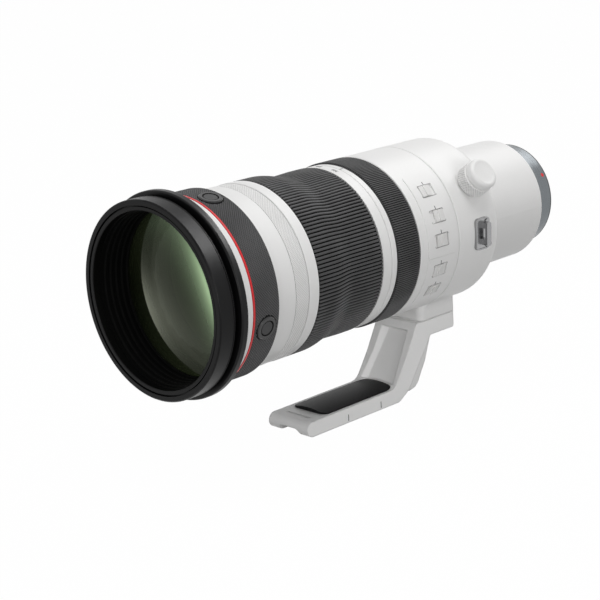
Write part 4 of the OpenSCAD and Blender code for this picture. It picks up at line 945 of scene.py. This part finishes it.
def pale_floor():
    half = FLOOR_HALF
    mesh = bpy.data.meshes.new("floor")
    corners = [(x, y, FLOOR_Z) for x, y in ((-half, -half), (half, -half), (half, half), (-half, half))]
    mesh.from_pydata(corners, [], [(0, 1, 2, 3)])
    floor = bpy.data.objects.new("floor", mesh)
    bpy.context.scene.collection.objects.link(floor)
    g = Graph(bpy.data.materials.new("floor_white"), "ShaderNodeOutputMaterial")
    glow = g.add("ShaderNodeEmission", Color=(1, 1, 1, 1), Strength=FLOOR_WHITE).outputs[0]
    share = g.times(seen(g), FLOOR_SHARE)
    mesh.materials.append(g.surface(g.mix(share, g.diffuse((FLOOR_SHADE,) * 3), glow)))


def studio_world():
    g = Graph(bpy.data.worlds.new("studio"), "ShaderNodeOutputWorld")
    strength = g.fit(seen(g), WORLD_FILL, 1.0)
    bpy.context.scene.world = g.surface(
        g.add("ShaderNodeBackground", Color=(1, 1, 1, 1), Strength=strength).outputs[0])


pale_floor()
studio_world()


# Lamps: places, aims and sizes in metres, powers in watts
def area(name, place, aim, size, power):
    """A rectangular softbox that the camera doesn't see."""
    light = bpy.data.lights.new(name, "AREA")
    light.shape = "RECTANGLE"
    light.size, light.size_y = size
    light.energy = power
    lamp = bpy.data.objects.new(name, light)
    bpy.context.scene.collection.objects.link(lamp)
    lamp.location = place
    lamp.rotation_mode = "QUATERNION"
    lamp.rotation_quaternion = (Vector(aim) - Vector(place)).to_track_quat("-Z", "Y")
    lamp.visible_camera = False
    return lamp


def light_only(lamp, name, receivers):
    """Make a lamp light only these nodes."""
    group = bpy.data.collections.new(name)
    for receiver in receivers:
        group.objects.link(nodes[receiver])
    lamp.light_linking.receiver_collection = group


area("key", (0.12, -0.30, 1.18), aim=(0.0, -0.18, 0.0), size=(0.8, 0.9), power=7.2)
area("back", (0.0, 0.95, 1.0), aim=(0.0, -0.15, 0.0), size=(1.0, 0.22), power=4.0)
area("side", (1.35, -0.45, 0.12), aim=(0.0, -0.15, -0.03), size=(1.0, 0.5), power=6.2)
area("front", (0.45, -1.7, 0.02), aim=(0.0, -0.15, -0.04), size=(0.7, 0.5), power=6.0)

# Tall strip in front, for the glass alone and without its mirror image there
strip = area("strip", (-0.05, -1.75, -0.10), aim=(0.03, -0.30, 0.0), size=(0.45, 1.7), power=15.0)
strip.visible_glossy = False
light_only(strip, "front_glass", ["front_element", "front_doublet"])

# Wide softbox behind, for the sheen of the black front rings
sheen = area("sheen", (0.22, 0.95, 0.92), aim=(0.0, -0.30, 0.05), size=(1.0, 0.5), power=36.0)
light_only(sheen, "shiny_rings", ["filter_ring", "hood_flange"])

# Camera at the photograph's viewing angle
CAMERA_PLACE = Vector((0.711143, -0.894358, 0.251255))
CAMERA_RIGHT = Vector((0.705006, 0.707028, -0.055485))
CAMERA_UP = Vector((-0.154098, 0.229084, 0.961132))
CAMERA_AHEAD = Vector((-0.692258, 0.669053, -0.270457))
FOCAL_PIXELS = 1684.3377
PHOTO_PIXELS = 600.0
SENSOR = 36.0

camera = bpy.data.cameras.new("camera")
camera.sensor_width = SENSOR
camera.lens = FOCAL_PIXELS * SENSOR / PHOTO_PIXELS
camera.clip_start = 0.05
camera.clip_end = 200.0
camera_object = bpy.data.objects.new("camera", camera)
bpy.context.scene.collection.objects.link(camera_object)
turn = Matrix((CAMERA_RIGHT, CAMERA_UP, -CAMERA_AHEAD)).transposed()
camera_object.matrix_world = Matrix.Translation(CAMERA_PLACE) @ turn.to_4x4()
bpy.context.scene.camera = camera_object
bpy.context.scene.view_settings.view_transform = "Standard"
